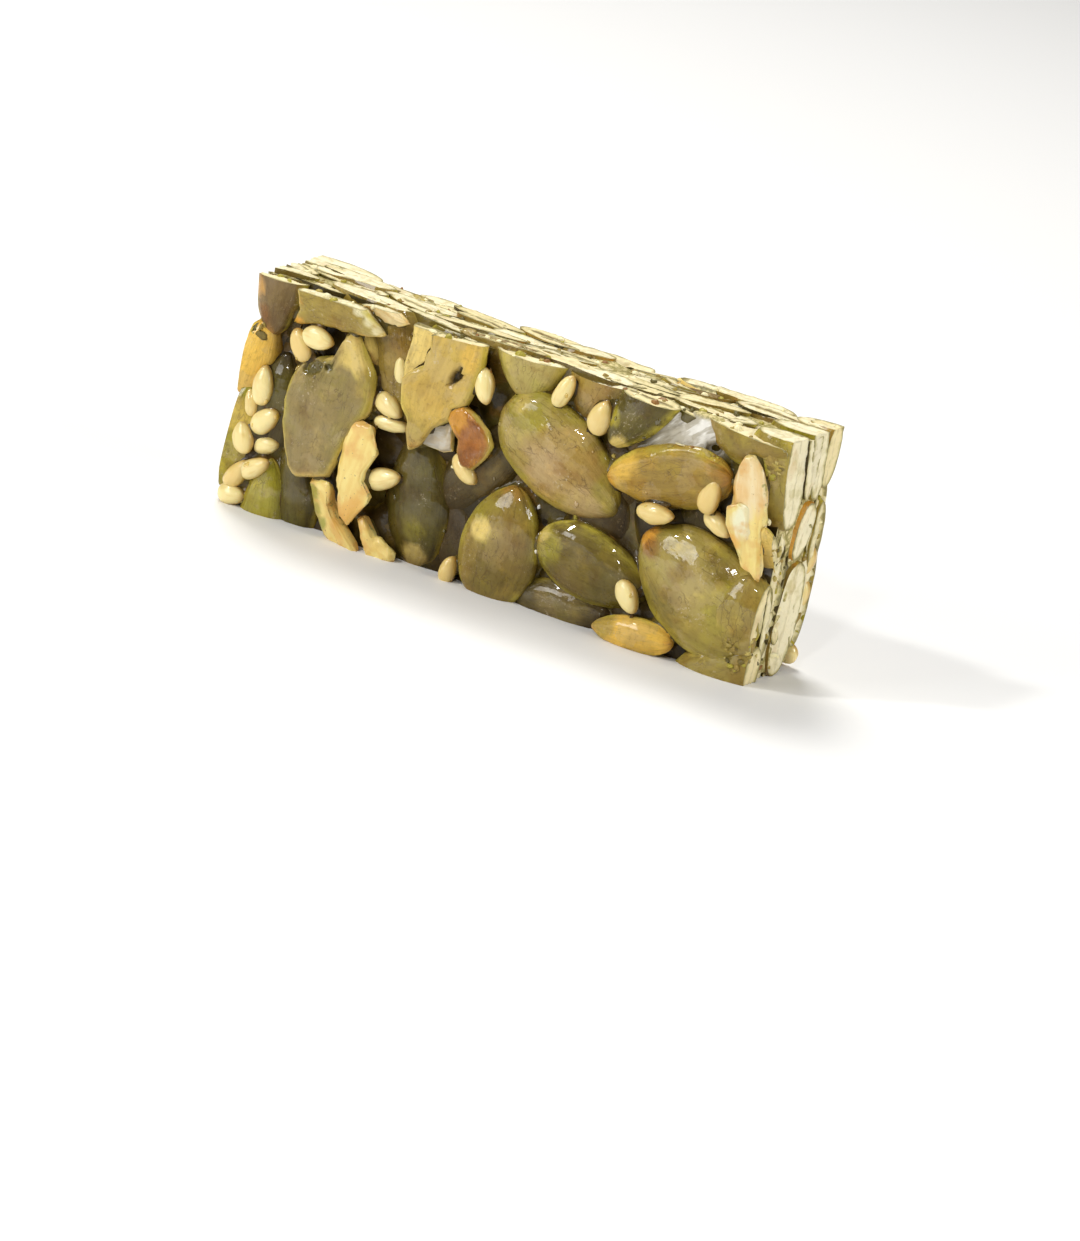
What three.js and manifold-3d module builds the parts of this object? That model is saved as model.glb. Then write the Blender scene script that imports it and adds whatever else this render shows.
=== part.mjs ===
// Pumpkin seed crisp: a bar of hulled pumpkin kernels and sesame, set in syrup, rolled flat and knife-cut.
// Millimetres, +Z up. The bar stands on a long cut edge, with its length along X and its thickness along Y.
// The origin is on the table, under the middle of the bar. Both rolled faces show whole kernels; the four cut
// faces show kernels sliced through, layer behind layer.
import * as THREE from "three";
import { mergeVertices } from "three/addons/utils/BufferGeometryUtils.js";
import Module from "manifold-3d";

// The bar, out to its highest kernels and its outermost cuts.
const barLength = 56;
const barHeight = 22.6;
const barThickness = 11.4;

// One kernel on average, by what part of that kernels differ, and how thickness goes with width.
const kernelLength = 13.4;
const kernelWidth = 7.7;
const kernelThickness = 2.6;
const kernelSpread = { length: 0.16, width: 0.13, thickness: 0.1 };
const thicknessPower = 0.6;

// How blunt the ends of a shape are, tip first, where 0.5 is an ellipse, and how full it stays towards them.
const kernelEnds = [0.6, 0.46];
const flakeEnds = [0.24, 0.2];
const sesameEnds = [0.72, 0.42];
const faceFullness = 0.4;
const sectionFullness = 0.85;

// A sesame seed.
const sesameThickness = 1.1;

// The kernels lie in layers, one behind another through the thickness. An inner layer has rows at these
// heights, in which each kernel overlaps the next a little and strays from its place and, in degrees, from flat.
const layerCount = 5;
const layerPitch = (barThickness - kernelThickness) / (layerCount - 1);
const innerRows = [0.8, 7.8, 14.8, barHeight - 0.8];
const rowOverlap = 0.05;
const innerStray = { start: 5, y: 0.25, z: 1.3, lean: 9, pitch: 6 };

// How far the kernels of the far face stray from the places of the near one.
const farStray = { x: 0.7, z: 0.4, turn: 14 };

// The set syrup that fills between kernels: how far it stays under the near and far rolled faces and the cuts.
const syrupUnderNear = 2.5;
const syrupUnderFar = 1.7;
const syrupUnderCut = 0.8;
const seatDepth = 0.3;

// The knife leaves each kernel at its own depth and a little off square.
const deepestBite = 0.7;
const knifeTilt = 6;

// Facets round and along each shape.
const nearFacets = [10, 5];
const farFacets = [6, 4];
const innerFacets = [6, 4];
const sesameFacets = [6, 3];

// Kernels of the rolled face, as they lie: x and z of the middle, depth of the crown under the face, length,
// width, turn of the tip from +X towards +Z, lean about the long axis, and pitch of the tip into the bar.
const rolledKernels = [
  [5.6, 14.2, 0.2, 14.4, 8.6, -28, 0, 3],
  [16.6, 15.9, 0.1, 13.0, 6.2, 197, -18, 4],
  [1.3, 4.7, 0.1, 11.6, 7.9, 84, 3, 0],
  [10.8, 5.6, 0.4, 11.8, 6.9, -10, 6, 4],
  [21.3, 6.9, 0.0, 14.2, 10.2, 152, 2, 2],
  [0.9, 24.6, 0.3, 13.0, 8.8, 270, 0, 2],
  [8.3, 24.6, 0.8, 13.0, 8.0, 256, 4, 3],
  [13.2, 21.8, 0.2, 11.0, 5.6, 240, 8, 0],
  [25.6, 23.8, 0.2, 13.0, 8.6, 20, 0, 0],
  [-25.9, 22.2, 0.5, 11.6, 5.2, 268, -8, 0],
  [-16.0, 15.4, 0.9, 10.6, 5.6, 100, 8, 0],
  [-8.4, 6.2, 1.3, 13.2, 7.4, 96, -4, 0],
  [-27.4, 14.2, 0.7, 8.0, 4.6, 76, 20, 0],
  [-28.4, 5.6, 0.8, 11.0, 5.4, 82, 16, 0],
  [-23.9, 0.7, 0.5, 9.4, 4.4, 88, 8, 0],
  [25.0, 0.2, 0.8, 11.0, 5.6, 30, 8, 0],
];

// Kernels that show deeper in the near rolled face, broken flakes of kernels, and kernels without their green
// skin, in the same terms.
const deeperKernels = [
  [17.4, 20.6, 1.5, 13.0, 7.0, 45, -6, 0],
  [-2.6, 11.0, 1.6, 12.6, 7.0, 52, 0, 0],
  [7.8, 0.7, 1.5, 11.5, 5.4, 8, 6, 0],
  [-21.0, 3.2, 1.2, 10.0, 4.8, 100, 0, 0],
  [-12.8, 17.6, 1.4, 12.4, 6.6, 104, 0, 0],
  [-25.0, 9.4, 1.2, 12.0, 5.6, 84, 0, 0],
];
const brokenFlakes = [
  [-7.2, 18.3, 0.0, 11.4, 6.2, 266, -4, 0],
  [-10.4, 21.0, 1.0, 9.0, 3.8, 80, 10, 0],
  [-19.2, 21.9, 0.2, 10.8, 5.6, -7, 10, 0],
  [-19.0, 10.9, 0.0, 12.6, 8.0, 84, -2, 1],
  [-2.9, 13.8, 0.3, 5.8, 3.8, 112, 0, 0],
];
const bareKernels = [
  [-14.4, 7.6, -0.1, 10.6, 4.2, 262, 10, 0],
  [-16.2, 2.4, 0.2, 9.0, 3.2, -50, 30, 0],
  [-11.2, 0.9, 0.6, 4.6, 3.0, 18, 0, 0],
  [16.2, 1.6, 0.1, 7.8, 3.2, 12, 8, 0],
  [25.4, 15.6, 0.1, 11.0, 4.2, 104, -14, 0],
  [-6.2, 12.6, 0.9, 4.4, 3.0, 4, 0, 0],
];

// Sesame on the rolled face: x and z of the middle, depth of the crown, length, width, turn.
const rolledSesame = [
  [-22.2, 16.8, 0.0, 3.2, 2.1, 118],
  [-20.5, 17.9, -0.1, 3.3, 2.1, -4],
  [-25.7, 11.9, 0.4, 3.8, 2.1, 92],
  [-26.9, 9.9, 0.8, 2.9, 1.7, 104],
  [-24.8, 8.8, 0.3, 3.5, 2.1, 42],
  [-26.8, 6.6, 0.2, 3.2, 2.2, 108],
  [-24.6, 6.4, 0.9, 2.8, 1.8, 20],
  [-24.9, 4.2, 0.1, 3.5, 1.9, 36],
  [-26.9, 3.0, 0.3, 3.5, 1.8, 56],
  [-27.2, 0.9, 0.4, 2.8, 2.0, 4],
  [-12.4, 13.8, 0.7, 3.3, 2.0, -22],
  [-12.0, 12.1, 1.0, 3.5, 1.6, 2],
  [-12.0, 17.2, 1.1, 2.9, 1.6, 98],
  [-11.4, 7.2, 0.4, 3.7, 2.1, 24],
  [-3.5, 10.4, 0.8, 3.4, 2.0, -36],
  [-2.9, 18.6, 0.2, 3.4, 1.9, -64],
  [5.2, 20.5, 0.1, 3.3, 1.7, 70],
  [9.2, 19.3, 0.3, 3.5, 2.2, 74],
  [21.3, 15.7, -0.1, 3.5, 2.1, 76],
  [22.2, 13.2, 0.7, 3.2, 1.8, -24],
  [16.3, 12.5, 0.1, 4.0, 2.0, 8],
  [15.2, 4.4, 0.0, 3.2, 1.9, -50],
  [-3.3, 0.9, 0.6, 3.0, 1.7, 80],
];

const wasm = await Module();
wasm.setup();

const degrees = Math.PI / 180;
const longAxis = new THREE.Vector3(1, 0, 0);
const widthAxis = new THREE.Vector3(0, 1, 0);
const outward = new THREE.Vector3(0, -1, 0);
const upward = new THREE.Vector3(0, 0, 1);

// A repeatable draw between low and high for a numbered thing and a numbered property of it.
function draw(thing, property, low, high) {
  const wave = Math.sin(thing * 12.9898 + property * 78.233) * 43758.5453;
  return low + (wave - Math.floor(wave)) * (high - low);
}

function solidOf(geometry) {
  const bare = geometry.index ? geometry.toNonIndexed() : geometry.clone();
  bare.deleteAttribute("normal");
  bare.deleteAttribute("uv");
  const merged = mergeVertices(bare, 1e-4);
  const mesh = new wasm.Mesh({
    numProp: 3,
    vertProperties: new Float32Array(merged.getAttribute("position").array),
    triVerts: new Uint32Array(merged.index.array),
  });
  return new wasm.Manifold(mesh);
}

function geometryOf(solid) {
  const mesh = solid.getMesh();
  const geometry = new THREE.BufferGeometry();
  geometry.setAttribute("position", new THREE.BufferAttribute(mesh.vertProperties, 3));
  geometry.setIndex(new THREE.BufferAttribute(mesh.triVerts, 1));
  return geometry;
}

// The skin with the most faces, alone: this fills hollows that the union sealed and drops loose scraps.
function outerSkin(geometry) {
  const index = geometry.index.array;
  const skinOf = Array.from({ length: geometry.getAttribute("position").count }, (_, i) => i);
  const rootOf = (i) => {
    while (skinOf[i] !== i) {
      skinOf[i] = skinOf[skinOf[i]];
      i = skinOf[i];
    }
    return i;
  };
  for (let i = 0; i < index.length; i += 3) {
    skinOf[rootOf(index[i])] = rootOf(index[i + 1]);
    skinOf[rootOf(index[i + 1])] = rootOf(index[i + 2]);
  }
  const faces = new Map();
  for (let i = 0; i < index.length; i += 3) {
    const root = rootOf(index[i]);
    if (!faces.has(root)) faces.set(root, []);
    faces.get(root).push(index[i], index[i + 1], index[i + 2]);
  }
  const largest = [...faces.values()].reduce((best, skin) => (skin.length > best.length ? skin : best));
  const skin = geometry.clone().setIndex(largest);
  skin.computeVertexNormals();
  return skin;
}

// Makes a round section squarer.
function fuller(value) {
  return Math.sign(value) * Math.abs(value) ** sectionFullness;
}

// A kernel along X with its tip at +X: round behind, narrower in front, and flat like a lens. Where the powers
// of its ends are low, it is a blocky flake instead.
function kernelGeometry(length, width, thickness, facets, ends) {
  const [around, along] = facets;
  const [tipPower, backPower] = ends;
  const sum = tipPower + backPower;
  const widest = ((2 * tipPower) / sum) ** tipPower * ((2 * backPower) / sum) ** backPower;
  const shape = new THREE.SphereGeometry(1, around, along);
  shape.rotateZ(-Math.PI / 2);
  const place = shape.getAttribute("position");
  for (let i = 0; i < place.count; i++) {
    const u = Math.min(1, Math.max(-1, place.getX(i)));
    const ring = Math.hypot(place.getY(i), place.getZ(i)) || 1;
    const side = fuller(place.getY(i) / ring);
    const top = fuller(place.getZ(i) / ring);
    const widthHere = ((1 - u) ** tipPower * (1 + u) ** backPower) / widest;
    const thicknessHere = (1 - u * u) ** faceFullness;
    place.setXYZ(i, (u * length) / 2, (widthHere * side * width) / 2, (thicknessHere * top * thickness) / 2);
  }
  return shape;
}

// Lays a shape in the rolled face that looks along -Y: long axis turned in the face, flat side outwards. For
// the far face, that is then turned about with the whole bar.
function lay(geometry, { x, y, z, turn, lean = 0, pitch = 0, far }) {
  const matrix = new THREE.Matrix4();
  if (far) matrix.makeRotationAxis(upward, Math.PI);
  matrix.multiply(new THREE.Matrix4().makeTranslation(x, y, z));
  matrix.multiply(new THREE.Matrix4().makeRotationAxis(outward, turn * degrees));
  matrix.multiply(new THREE.Matrix4().makeRotationAxis(longAxis, Math.PI / 2));
  matrix.multiply(new THREE.Matrix4().makeRotationAxis(widthAxis, pitch * degrees));
  matrix.multiply(new THREE.Matrix4().makeRotationAxis(longAxis, lean * degrees));
  return geometry.applyMatrix4(matrix);
}

// The knife's waste: a block outside one cut face, a little off square, that is taken off a kernel.
function wasteBlock(side, bite, middle, number) {
  const reach = barLength;
  const tilt = side.z < 0 ? 0 : knifeTilt;
  const block = new THREE.BoxGeometry(reach, reach, reach);
  block.translate(0, 0, reach / 2);
  block.rotateX(draw(number, 11, -tilt, tilt) * degrees);
  block.rotateY(draw(number, 12, -tilt, tilt) * degrees);
  block.applyQuaternion(new THREE.Quaternion().setFromUnitVectors(upward, side));
  block.translate(
    side.x ? side.x * (barLength / 2 - bite) : middle.x,
    middle.y,
    side.z ? (side.z > 0 ? barHeight - bite : bite) : middle.z,
  );
  return solidOf(block);
}

const cutSides = [
  new THREE.Vector3(0, 0, 1),
  new THREE.Vector3(0, 0, -1),
  new THREE.Vector3(1, 0, 0),
  new THREE.Vector3(-1, 0, 0),
];

// How far a box reaches past a cut face.
function reachPast(side, box) {
  if (side.x > 0) return box.max.x - barLength / 2;
  if (side.x < 0) return -barLength / 2 - box.min.x;
  return side.z > 0 ? box.max.z - barHeight : -box.min.z;
}

// Slices off what reaches past the cut faces. On the table edge the cut is flush, so that the bar stands.
function knifeCut(geometry, number) {
  geometry.computeBoundingBox();
  const box = geometry.boundingBox;
  const middle = box.getCenter(new THREE.Vector3());
  let left = solidOf(geometry);
  cutSides.forEach((side, i) => {
    if (reachPast(side, box) <= 0) return;
    const bite = side.z < 0 ? 0 : draw(number, 13 + i, 0, deepestBite);
    left = left.subtract(wasteBlock(side, bite, middle, number + 40 * i));
  });
  return left;
}

// One kernel of the bar, numbered for its draws.
function kernelSolid(kernel, number, facets, ends = kernelEnds) {
  const shape = kernelGeometry(kernel.length, kernel.width, kernel.thickness, facets, ends);
  return knifeCut(lay(shape, kernel), number);
}

// The kernels of a rolled face.
function rolledFace(list, firstNumber, far, ends) {
  const stray = far ? farStray : { x: 0, z: 0, turn: 0 };
  return list.map(([x, z, depth, length, width, turn, lean, pitch], i) => {
    const number = firstNumber + i;
    const thickness = kernelThickness * (width / kernelWidth) ** thicknessPower;
    const kernel = {
      x: x + draw(number, 1, -stray.x, stray.x),
      y: -barThickness / 2 + depth + thickness / 2,
      z: z + draw(number, 2, -stray.z, stray.z),
      length,
      width,
      thickness,
      turn: turn + draw(number, 3, -stray.turn, stray.turn),
      lean,
      pitch,
      far,
    };
    return kernelSolid(kernel, number, far ? farFacets : nearFacets, ends);
  });
}

// How far a kernel reaches to each side along its row when it is turned by this much.
function halfReach(turn) {
  return Math.hypot(kernelLength * Math.cos(turn * degrees), kernelWidth * Math.sin(turn * degrees)) / 2;
}

// A kernel of the inner layers, with its size and its slants drawn.
function innerKernel(number, x, y, z, turn) {
  const { length, width, thickness } = kernelSpread;
  return {
    x,
    y: y + draw(number, 4, -innerStray.y, innerStray.y),
    z: z + draw(number, 5, -innerStray.z, innerStray.z),
    length: kernelLength * draw(number, 6, 1 - length, 1 + length),
    width: kernelWidth * draw(number, 7, 1 - width, 1 + width),
    thickness: kernelThickness * draw(number, 8, 1 - thickness, 1 + thickness),
    turn,
    lean: draw(number, 9, -innerStray.lean, innerStray.lean),
    pitch: draw(number, 10, -innerStray.pitch, innerStray.pitch),
  };
}

// The inner layers: rows laid end to end, where they show between the kernels of the near face or in a cut.
function innerLayers(firstNumber) {
  const solids = [];
  const middleLayer = (layerCount - 1) / 2;
  let number = firstNumber;
  for (let layer = 1; layer < layerCount - 1; layer++) {
    const y = -barThickness / 2 + kernelThickness / 2 + layer * layerPitch;
    for (const z of innerRows) {
      const rowIsCut = z < kernelWidth / 2 || z > barHeight - kernelWidth / 2;
      let x = -barLength / 2 - draw(number, 17, 0, innerStray.start);
      while (x < barLength / 2) {
        const turn = draw(number, 18, 0, 360);
        const reach = halfReach(turn) * (1 - rowOverlap);
        const endIsCut = Math.abs(x + reach) > (barLength - kernelLength) / 2;
        if (rowIsCut || endIsCut || layer < middleLayer) {
          solids.push(kernelSolid(innerKernel(number, x + reach, y, z, turn), number, innerFacets));
        }
        x += 2 * reach;
        number++;
      }
    }
  }
  return solids;
}

// Sesame seeds of a rolled face, drop-shaped, each on the drop of syrup that holds it. The far face has fewer.
function sesameFace(firstNumber, far) {
  const list = far ? rolledSesame.filter((_, i) => i % 2 === 0) : rolledSesame;
  const stray = far ? farStray : { x: 0, z: 0 };
  return list.map(([x, z, depth, length, width, turn], i) => {
    const number = firstNumber + i;
    const shape = kernelGeometry(length, width, sesameThickness, sesameFacets, sesameEnds);
    const seat = (far ? syrupUnderFar : syrupUnderNear) + seatDepth - depth;
    stretchUnderside(shape, (2 * seat) / sesameThickness - 1);
    const seed = {
      x: x + draw(number, 1, -stray.x, stray.x),
      y: -barThickness / 2 + depth + sesameThickness / 2,
      z: z + draw(number, 2, -stray.z, stray.z),
      turn,
      far,
    };
    return solidOf(lay(shape, seed));
  });
}

// Draws the lower side of a shape down by a factor, to stand it on what lies under it.
function stretchUnderside(shape, factor) {
  const place = shape.getAttribute("position");
  for (let i = 0; i < place.count; i++) {
    if (place.getZ(i) < 0) place.setZ(i, place.getZ(i) * factor);
  }
}

// The set syrup with the hidden kernels in it, under all the faces.
function syrupCore() {
  const length = barLength - 2 * syrupUnderCut;
  const height = barHeight - 2 * syrupUnderCut;
  const thickness = barThickness - syrupUnderNear - syrupUnderFar;
  const block = new THREE.BoxGeometry(length, thickness, height);
  block.translate(0, (syrupUnderNear - syrupUnderFar) / 2, barHeight / 2);
  return solidOf(block);
}

// The space that the bar may take up, so that no facet leaves it.
function barBox() {
  const block = new THREE.BoxGeometry(barLength, barThickness, barHeight);
  block.translate(0, 0, barHeight / 2);
  return solidOf(block);
}

const pieces = [
  syrupCore(),
  ...rolledFace(rolledKernels, 100, false),
  ...rolledFace(deeperKernels, 130, false),
  ...rolledFace(brokenFlakes, 140, false, flakeEnds),
  ...rolledFace(bareKernels, 150, false),
  ...rolledFace(rolledKernels, 200, true),
  ...rolledFace(brokenFlakes, 240, true, flakeEnds),
  ...rolledFace(bareKernels, 250, true),
  ...innerLayers(300),
  ...sesameFace(500, false),
  ...sesameFace(550, true),
];
const bar = pieces.reduce((whole, piece) => whole.add(piece)).intersect(barBox());

const crisp = new THREE.Group();
const material = new THREE.MeshStandardMaterial({ color: 0x8f8444, roughness: 0.35, metalness: 0 });
const mesh = new THREE.Mesh(outerSkin(geometryOf(bar)), material);
mesh.name = "seed_crisp_bar";
crisp.add(mesh);

export default crisp;
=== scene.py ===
# Pumpkin seed crisp: pumpkin kernels and sesame set in syrup, rolled flat and knife-cut into a bar.
# Shapes are worked out in millimetres, and each finished mesh is brought to metres.
import math
import bmesh
import bpy
from mathutils import Matrix, Vector, noise
from mathutils.bvhtree import BVHTree
from mathutils.kdtree import KDTree


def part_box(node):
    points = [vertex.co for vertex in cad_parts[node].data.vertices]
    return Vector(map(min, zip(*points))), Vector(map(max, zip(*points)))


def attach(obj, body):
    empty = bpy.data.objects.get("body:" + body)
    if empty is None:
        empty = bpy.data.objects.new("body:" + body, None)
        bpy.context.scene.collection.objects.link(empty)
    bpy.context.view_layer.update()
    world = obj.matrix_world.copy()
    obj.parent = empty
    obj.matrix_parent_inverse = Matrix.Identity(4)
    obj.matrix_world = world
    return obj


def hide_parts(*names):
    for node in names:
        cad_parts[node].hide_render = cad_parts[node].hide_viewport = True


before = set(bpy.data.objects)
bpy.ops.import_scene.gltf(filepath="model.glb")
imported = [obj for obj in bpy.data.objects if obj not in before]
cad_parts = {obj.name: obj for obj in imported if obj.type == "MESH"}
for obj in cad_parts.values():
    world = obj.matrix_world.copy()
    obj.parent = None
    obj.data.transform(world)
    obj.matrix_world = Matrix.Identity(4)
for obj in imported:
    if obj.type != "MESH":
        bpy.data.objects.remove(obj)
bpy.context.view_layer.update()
mm = 0.001

# The bar, as the solid has it, and how the knife and the roller left it

barNode = "seed_crisp_bar"
barLow, barHigh = (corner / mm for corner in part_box(barNode))
bar = {
    "length": barHigh.x - barLow.x,
    "thickness": barHigh.y - barLow.y,
    "height": barHigh.z,
    "layers": 5,  # kernels lie one behind another through the thickness
    "deepestBite": 0.7,  # the knife leaves each kernel at its own depth
    "knifeTilt": 6,  # and a little off square, in degrees
    "cleanBite": 0.25,  # shares of those two where the knife went clean through
    "cleanTilt": 0.4,
    "tornOut": 1.6,  # mm deeper in the middle of the hollow in the right end
    "pressed": 0.1,  # mm inside the faces from where the roller pressed kernels level
    "springBack": 0.4,  # share of what it pressed that came back
}
print(f"bar: {bar['length']:.1f} by {bar['thickness']:.1f} by {bar['height']:.1f} mm")
kernelSize = {
    "length": 13.4,
    "width": 7.7,
    "thickness": 2.6,
    "spread": (0.16, 0.13, 0.1),  # by what part of that kernels differ
    "thicknessPower": 0.6,  # how thickness goes with width
    "plumpness": 1.32,  # of the whole ones in the near face
}
cutSides = [Vector((0, 0, 1)), Vector((0, 0, -1)), Vector((1, 0, 0)), Vector((-1, 0, 0))]


# what is drawn for a numbered seed, crumb or bead, and the number that each goes by
drawnAs = {
    "strayX": 1, "strayZ": 2, "strayTurn": 3, "innerY": 4, "innerZ": 5, "length": 6, "width": 7,
    "thickness": 8, "lean": 9, "pitch": 10, "tiltAcross": 11, "tiltAlong": 12, "bite": 13, "rowStart": 17,
    "rowTurn": 18, "rowStep": 19, "tone": 30, "chance": 31, "hollow": 32, "gap": 33, "ledge": 34,
    "ledgeHalf": 35, "curl": 36, "sesameLean": 37, "sesamePitch": 38, "innerTone": 39, "crumbSize": 50,
    "shred": 51, "crumbWidth": 52, "crumbHeight": 53, "crumbTone": 54, "crumbTurn": 55, "crumbTilt": 56,
    "scatter": 57, "dropX": 60, "dropZ": 61, "dropSize": 62,
}


def draw(number, quality, lowest, highest, step=0):  # the same each run
    wave = math.sin(number * 12.9898 + (drawnAs[quality] + step) * 78.233) * 43758.5453
    return lowest + (wave - math.floor(wave)) * (highest - lowest)


def within(value):  # no less than 0, no more than 1
    return max(0, min(1, value))


# each seed has a number, which its draws, outline and patches go by; where there are two, near and far
firstNumbers = {
    "rolled": (100, 200),
    "deeper": (130, 230),
    "flakes": (140, 240),
    "bare": (150, 250),
    "end": 180,
    "inner": 300,
    "sesame": (500, 550),
    "films": 600,
    "drops": 1800,
    "thin": 2000,
}


# Skin tones: colour, and how much of it is toasted

tones = {
    "khaki": (0.40, 0.255, 0.066, 0.15),
    "olive": (0.27, 0.185, 0.036, 0.20),
    "green": (0.335, 0.250, 0.050, 0.10),
    "dark": (0.098, 0.076, 0.010, 0.06),
    "shade": (0.055, 0.040, 0.009, 0.05),
    "lime": (0.345, 0.248, 0.046, 0.20),
    "moss": (0.150, 0.106, 0.016, 0.10),
    "bark": (0.175, 0.112, 0.034, 0.20),
    "sage": (0.43, 0.34, 0.095, 0.10),
    "amber": (0.80, 0.50, 0.080, 0.25),
    "grey": (0.265, 0.195, 0.062, 0.12),
    "slate": (0.105, 0.074, 0.020, 0.08),
    "ochre": (0.42, 0.255, 0.036, 0.35),
    "yellow": (0.57, 0.39, 0.080, 0.12),
    "tan": (0.82, 0.62, 0.19, 0.12),
    "cream": (0.78, 0.56, 0.145, 0.15),
    "toasted": (0.33, 0.125, 0.020, 0.40),
    "leaf": (0.34, 0.285, 0.028, 0.12),
    "orange": (0.72, 0.35, 0.040, 0.30),
    "straw": (0.76, 0.57, 0.16, 0.10),
    "russet": (0.25, 0.115, 0.024, 0.20),
    "flesh": (0.78, 0.70, 0.42, 0.0),
    "blush": (0.76, 0.56, 0.28, 0.0),
    "chip": (0.46, 0.385, 0.26, 0.0),
    # painted sheen: the film tone lays paler patches over kernel 100's middle
    "film": (0.50, 0.350, 0.170, 0.1),
}
# inner kernels take dark tones, partly painted shade for the gaps they show through
innerShadedTones = ["moss", "dark", "olive", "shade", "moss", "slate"]
commonTones = ["olive", "green", "olive", "grey", "dark", "green", "ochre", "olive", "leaf", "grey"]


def anyTone(number):
    return commonTones[int(draw(number, "tone", 0, len(commonTones)))]


# Kernels: where they lie in the near rolled face
# x, z, depth of the crown, length, width, turn of the tip, lean, pitch, tone

rolledKernels = [
    (5.6, 14.2, 0.2, 14.4, 8.6, -28, 0, 3, "green"),
    (16.6, 15.9, 0.1, 13.0, 6.2, 197, -18, 4, "ochre"),
    (1.3, 4.7, 0.1, 11.6, 7.9, 84, 3, 0, "olive"),
    (10.8, 5.6, 0.4, 11.8, 6.9, -10, 6, 4, "moss"),
    (21.3, 6.9, 0.0, 14.2, 10.2, 152, 2, 2, "green"),
    (0.9, 24.6, 0.3, 13.0, 8.8, 270, 0, 2, "sage"),
    (8.3, 24.6, 0.8, 13.0, 8.0, 256, 4, 3, "olive"),
    (13.2, 21.8, 0.2, 11.0, 5.6, 240, 8, 0, "dark"),
    (25.6, 23.8, 0.2, 13.0, 8.6, 20, 0, 0, "olive"),
    (-25.9, 22.2, 0.5, 11.6, 5.2, 268, -8, 0, "bark"),
    (-16.0, 15.4, 0.9, 10.6, 5.6, 100, 8, 0, "green"),
    (-8.4, 6.2, 1.3, 13.2, 7.4, 96, -4, 0, "dark"),
    (-27.4, 14.2, 0.7, 8.0, 4.6, 76, 20, 0, "amber"),
    (-28.2, 6.4, 0.6, 11.0, 5.6, 78, 16, 0, "leaf"),
    (-23.9, 0.7, 0.5, 9.4, 4.4, 88, 8, 0, "leaf"),
    (25.0, 0.2, 0.8, 11.0, 5.6, 30, 8, 0, "green"),
]
deeperKernels = [
    (17.4, 20.6, 1.5, 13.0, 7.0, 45, -6, 0, "dark"),
    (-2.2, 11.0, 1.6, 12.6, 6.0, 52, 0, 0, "slate"),
    (7.8, 0.7, 1.5, 11.5, 5.4, 8, 6, 0, "slate"),
    (-21.0, 3.2, 1.2, 10.0, 4.8, 100, 0, 0, "dark"),
    (-12.8, 17.6, 1.4, 12.4, 6.6, 104, 0, 0, "olive"),
    (-25.0, 9.4, 1.2, 12.0, 5.6, 84, 0, 0, "dark"),
    (16.2, 1.2, 0.0, 8.2, 3.3, 186, 8, 0, "amber"),
]
brokenFlakes = [
    (-7.0, 17.2, 0.0, 12.8, 7.9, 263, -4, 0, "yellow"),
    (-9.6, 20.0, 0.7, 7.2, 4.0, 80, 10, 0, "tan"),
    (-18.7, 20.9, 0.2, 10.6, 5.6, -7, 14, 0, "lime"),
    (-18.5, 11.6, 0.1, 14.6, 9.4, 84, -2, 1, "grey"),
    (-3.0, 13.6, 0.2, 6.4, 4.0, 112, 0, 0, "toasted"),
]
bareKernels = [
    (-14.1, 7.0, -0.1, 10.2, 4.2, 262, 10, 0, "cream"),
    (-16.4, 3.0, 0.3, 8.6, 3.6, -50, 24, 0, "cream"),
    (-11.1, 0.9, 0.6, 4.8, 3.4, -40, 0, 0, "cream"),
    (25.6, 15.2, 0.0, 11.0, 4.2, 104, -10, 0, "cream"),
    (-6.6, 12.6, 1.0, 3.8, 3.0, 4, 0, 0, "chip"),
    (-14.3, 22.2, 0.8, 6.0, 2.8, -14, 30, 0, "cream"),
    (24.9, 13.2, -0.1, 6.0, 2.6, 112, 4, -4, "straw"),
    (27.3, 11.8, 0.2, 5.6, 1.8, 116, 14, -6, "cream"),
]
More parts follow.
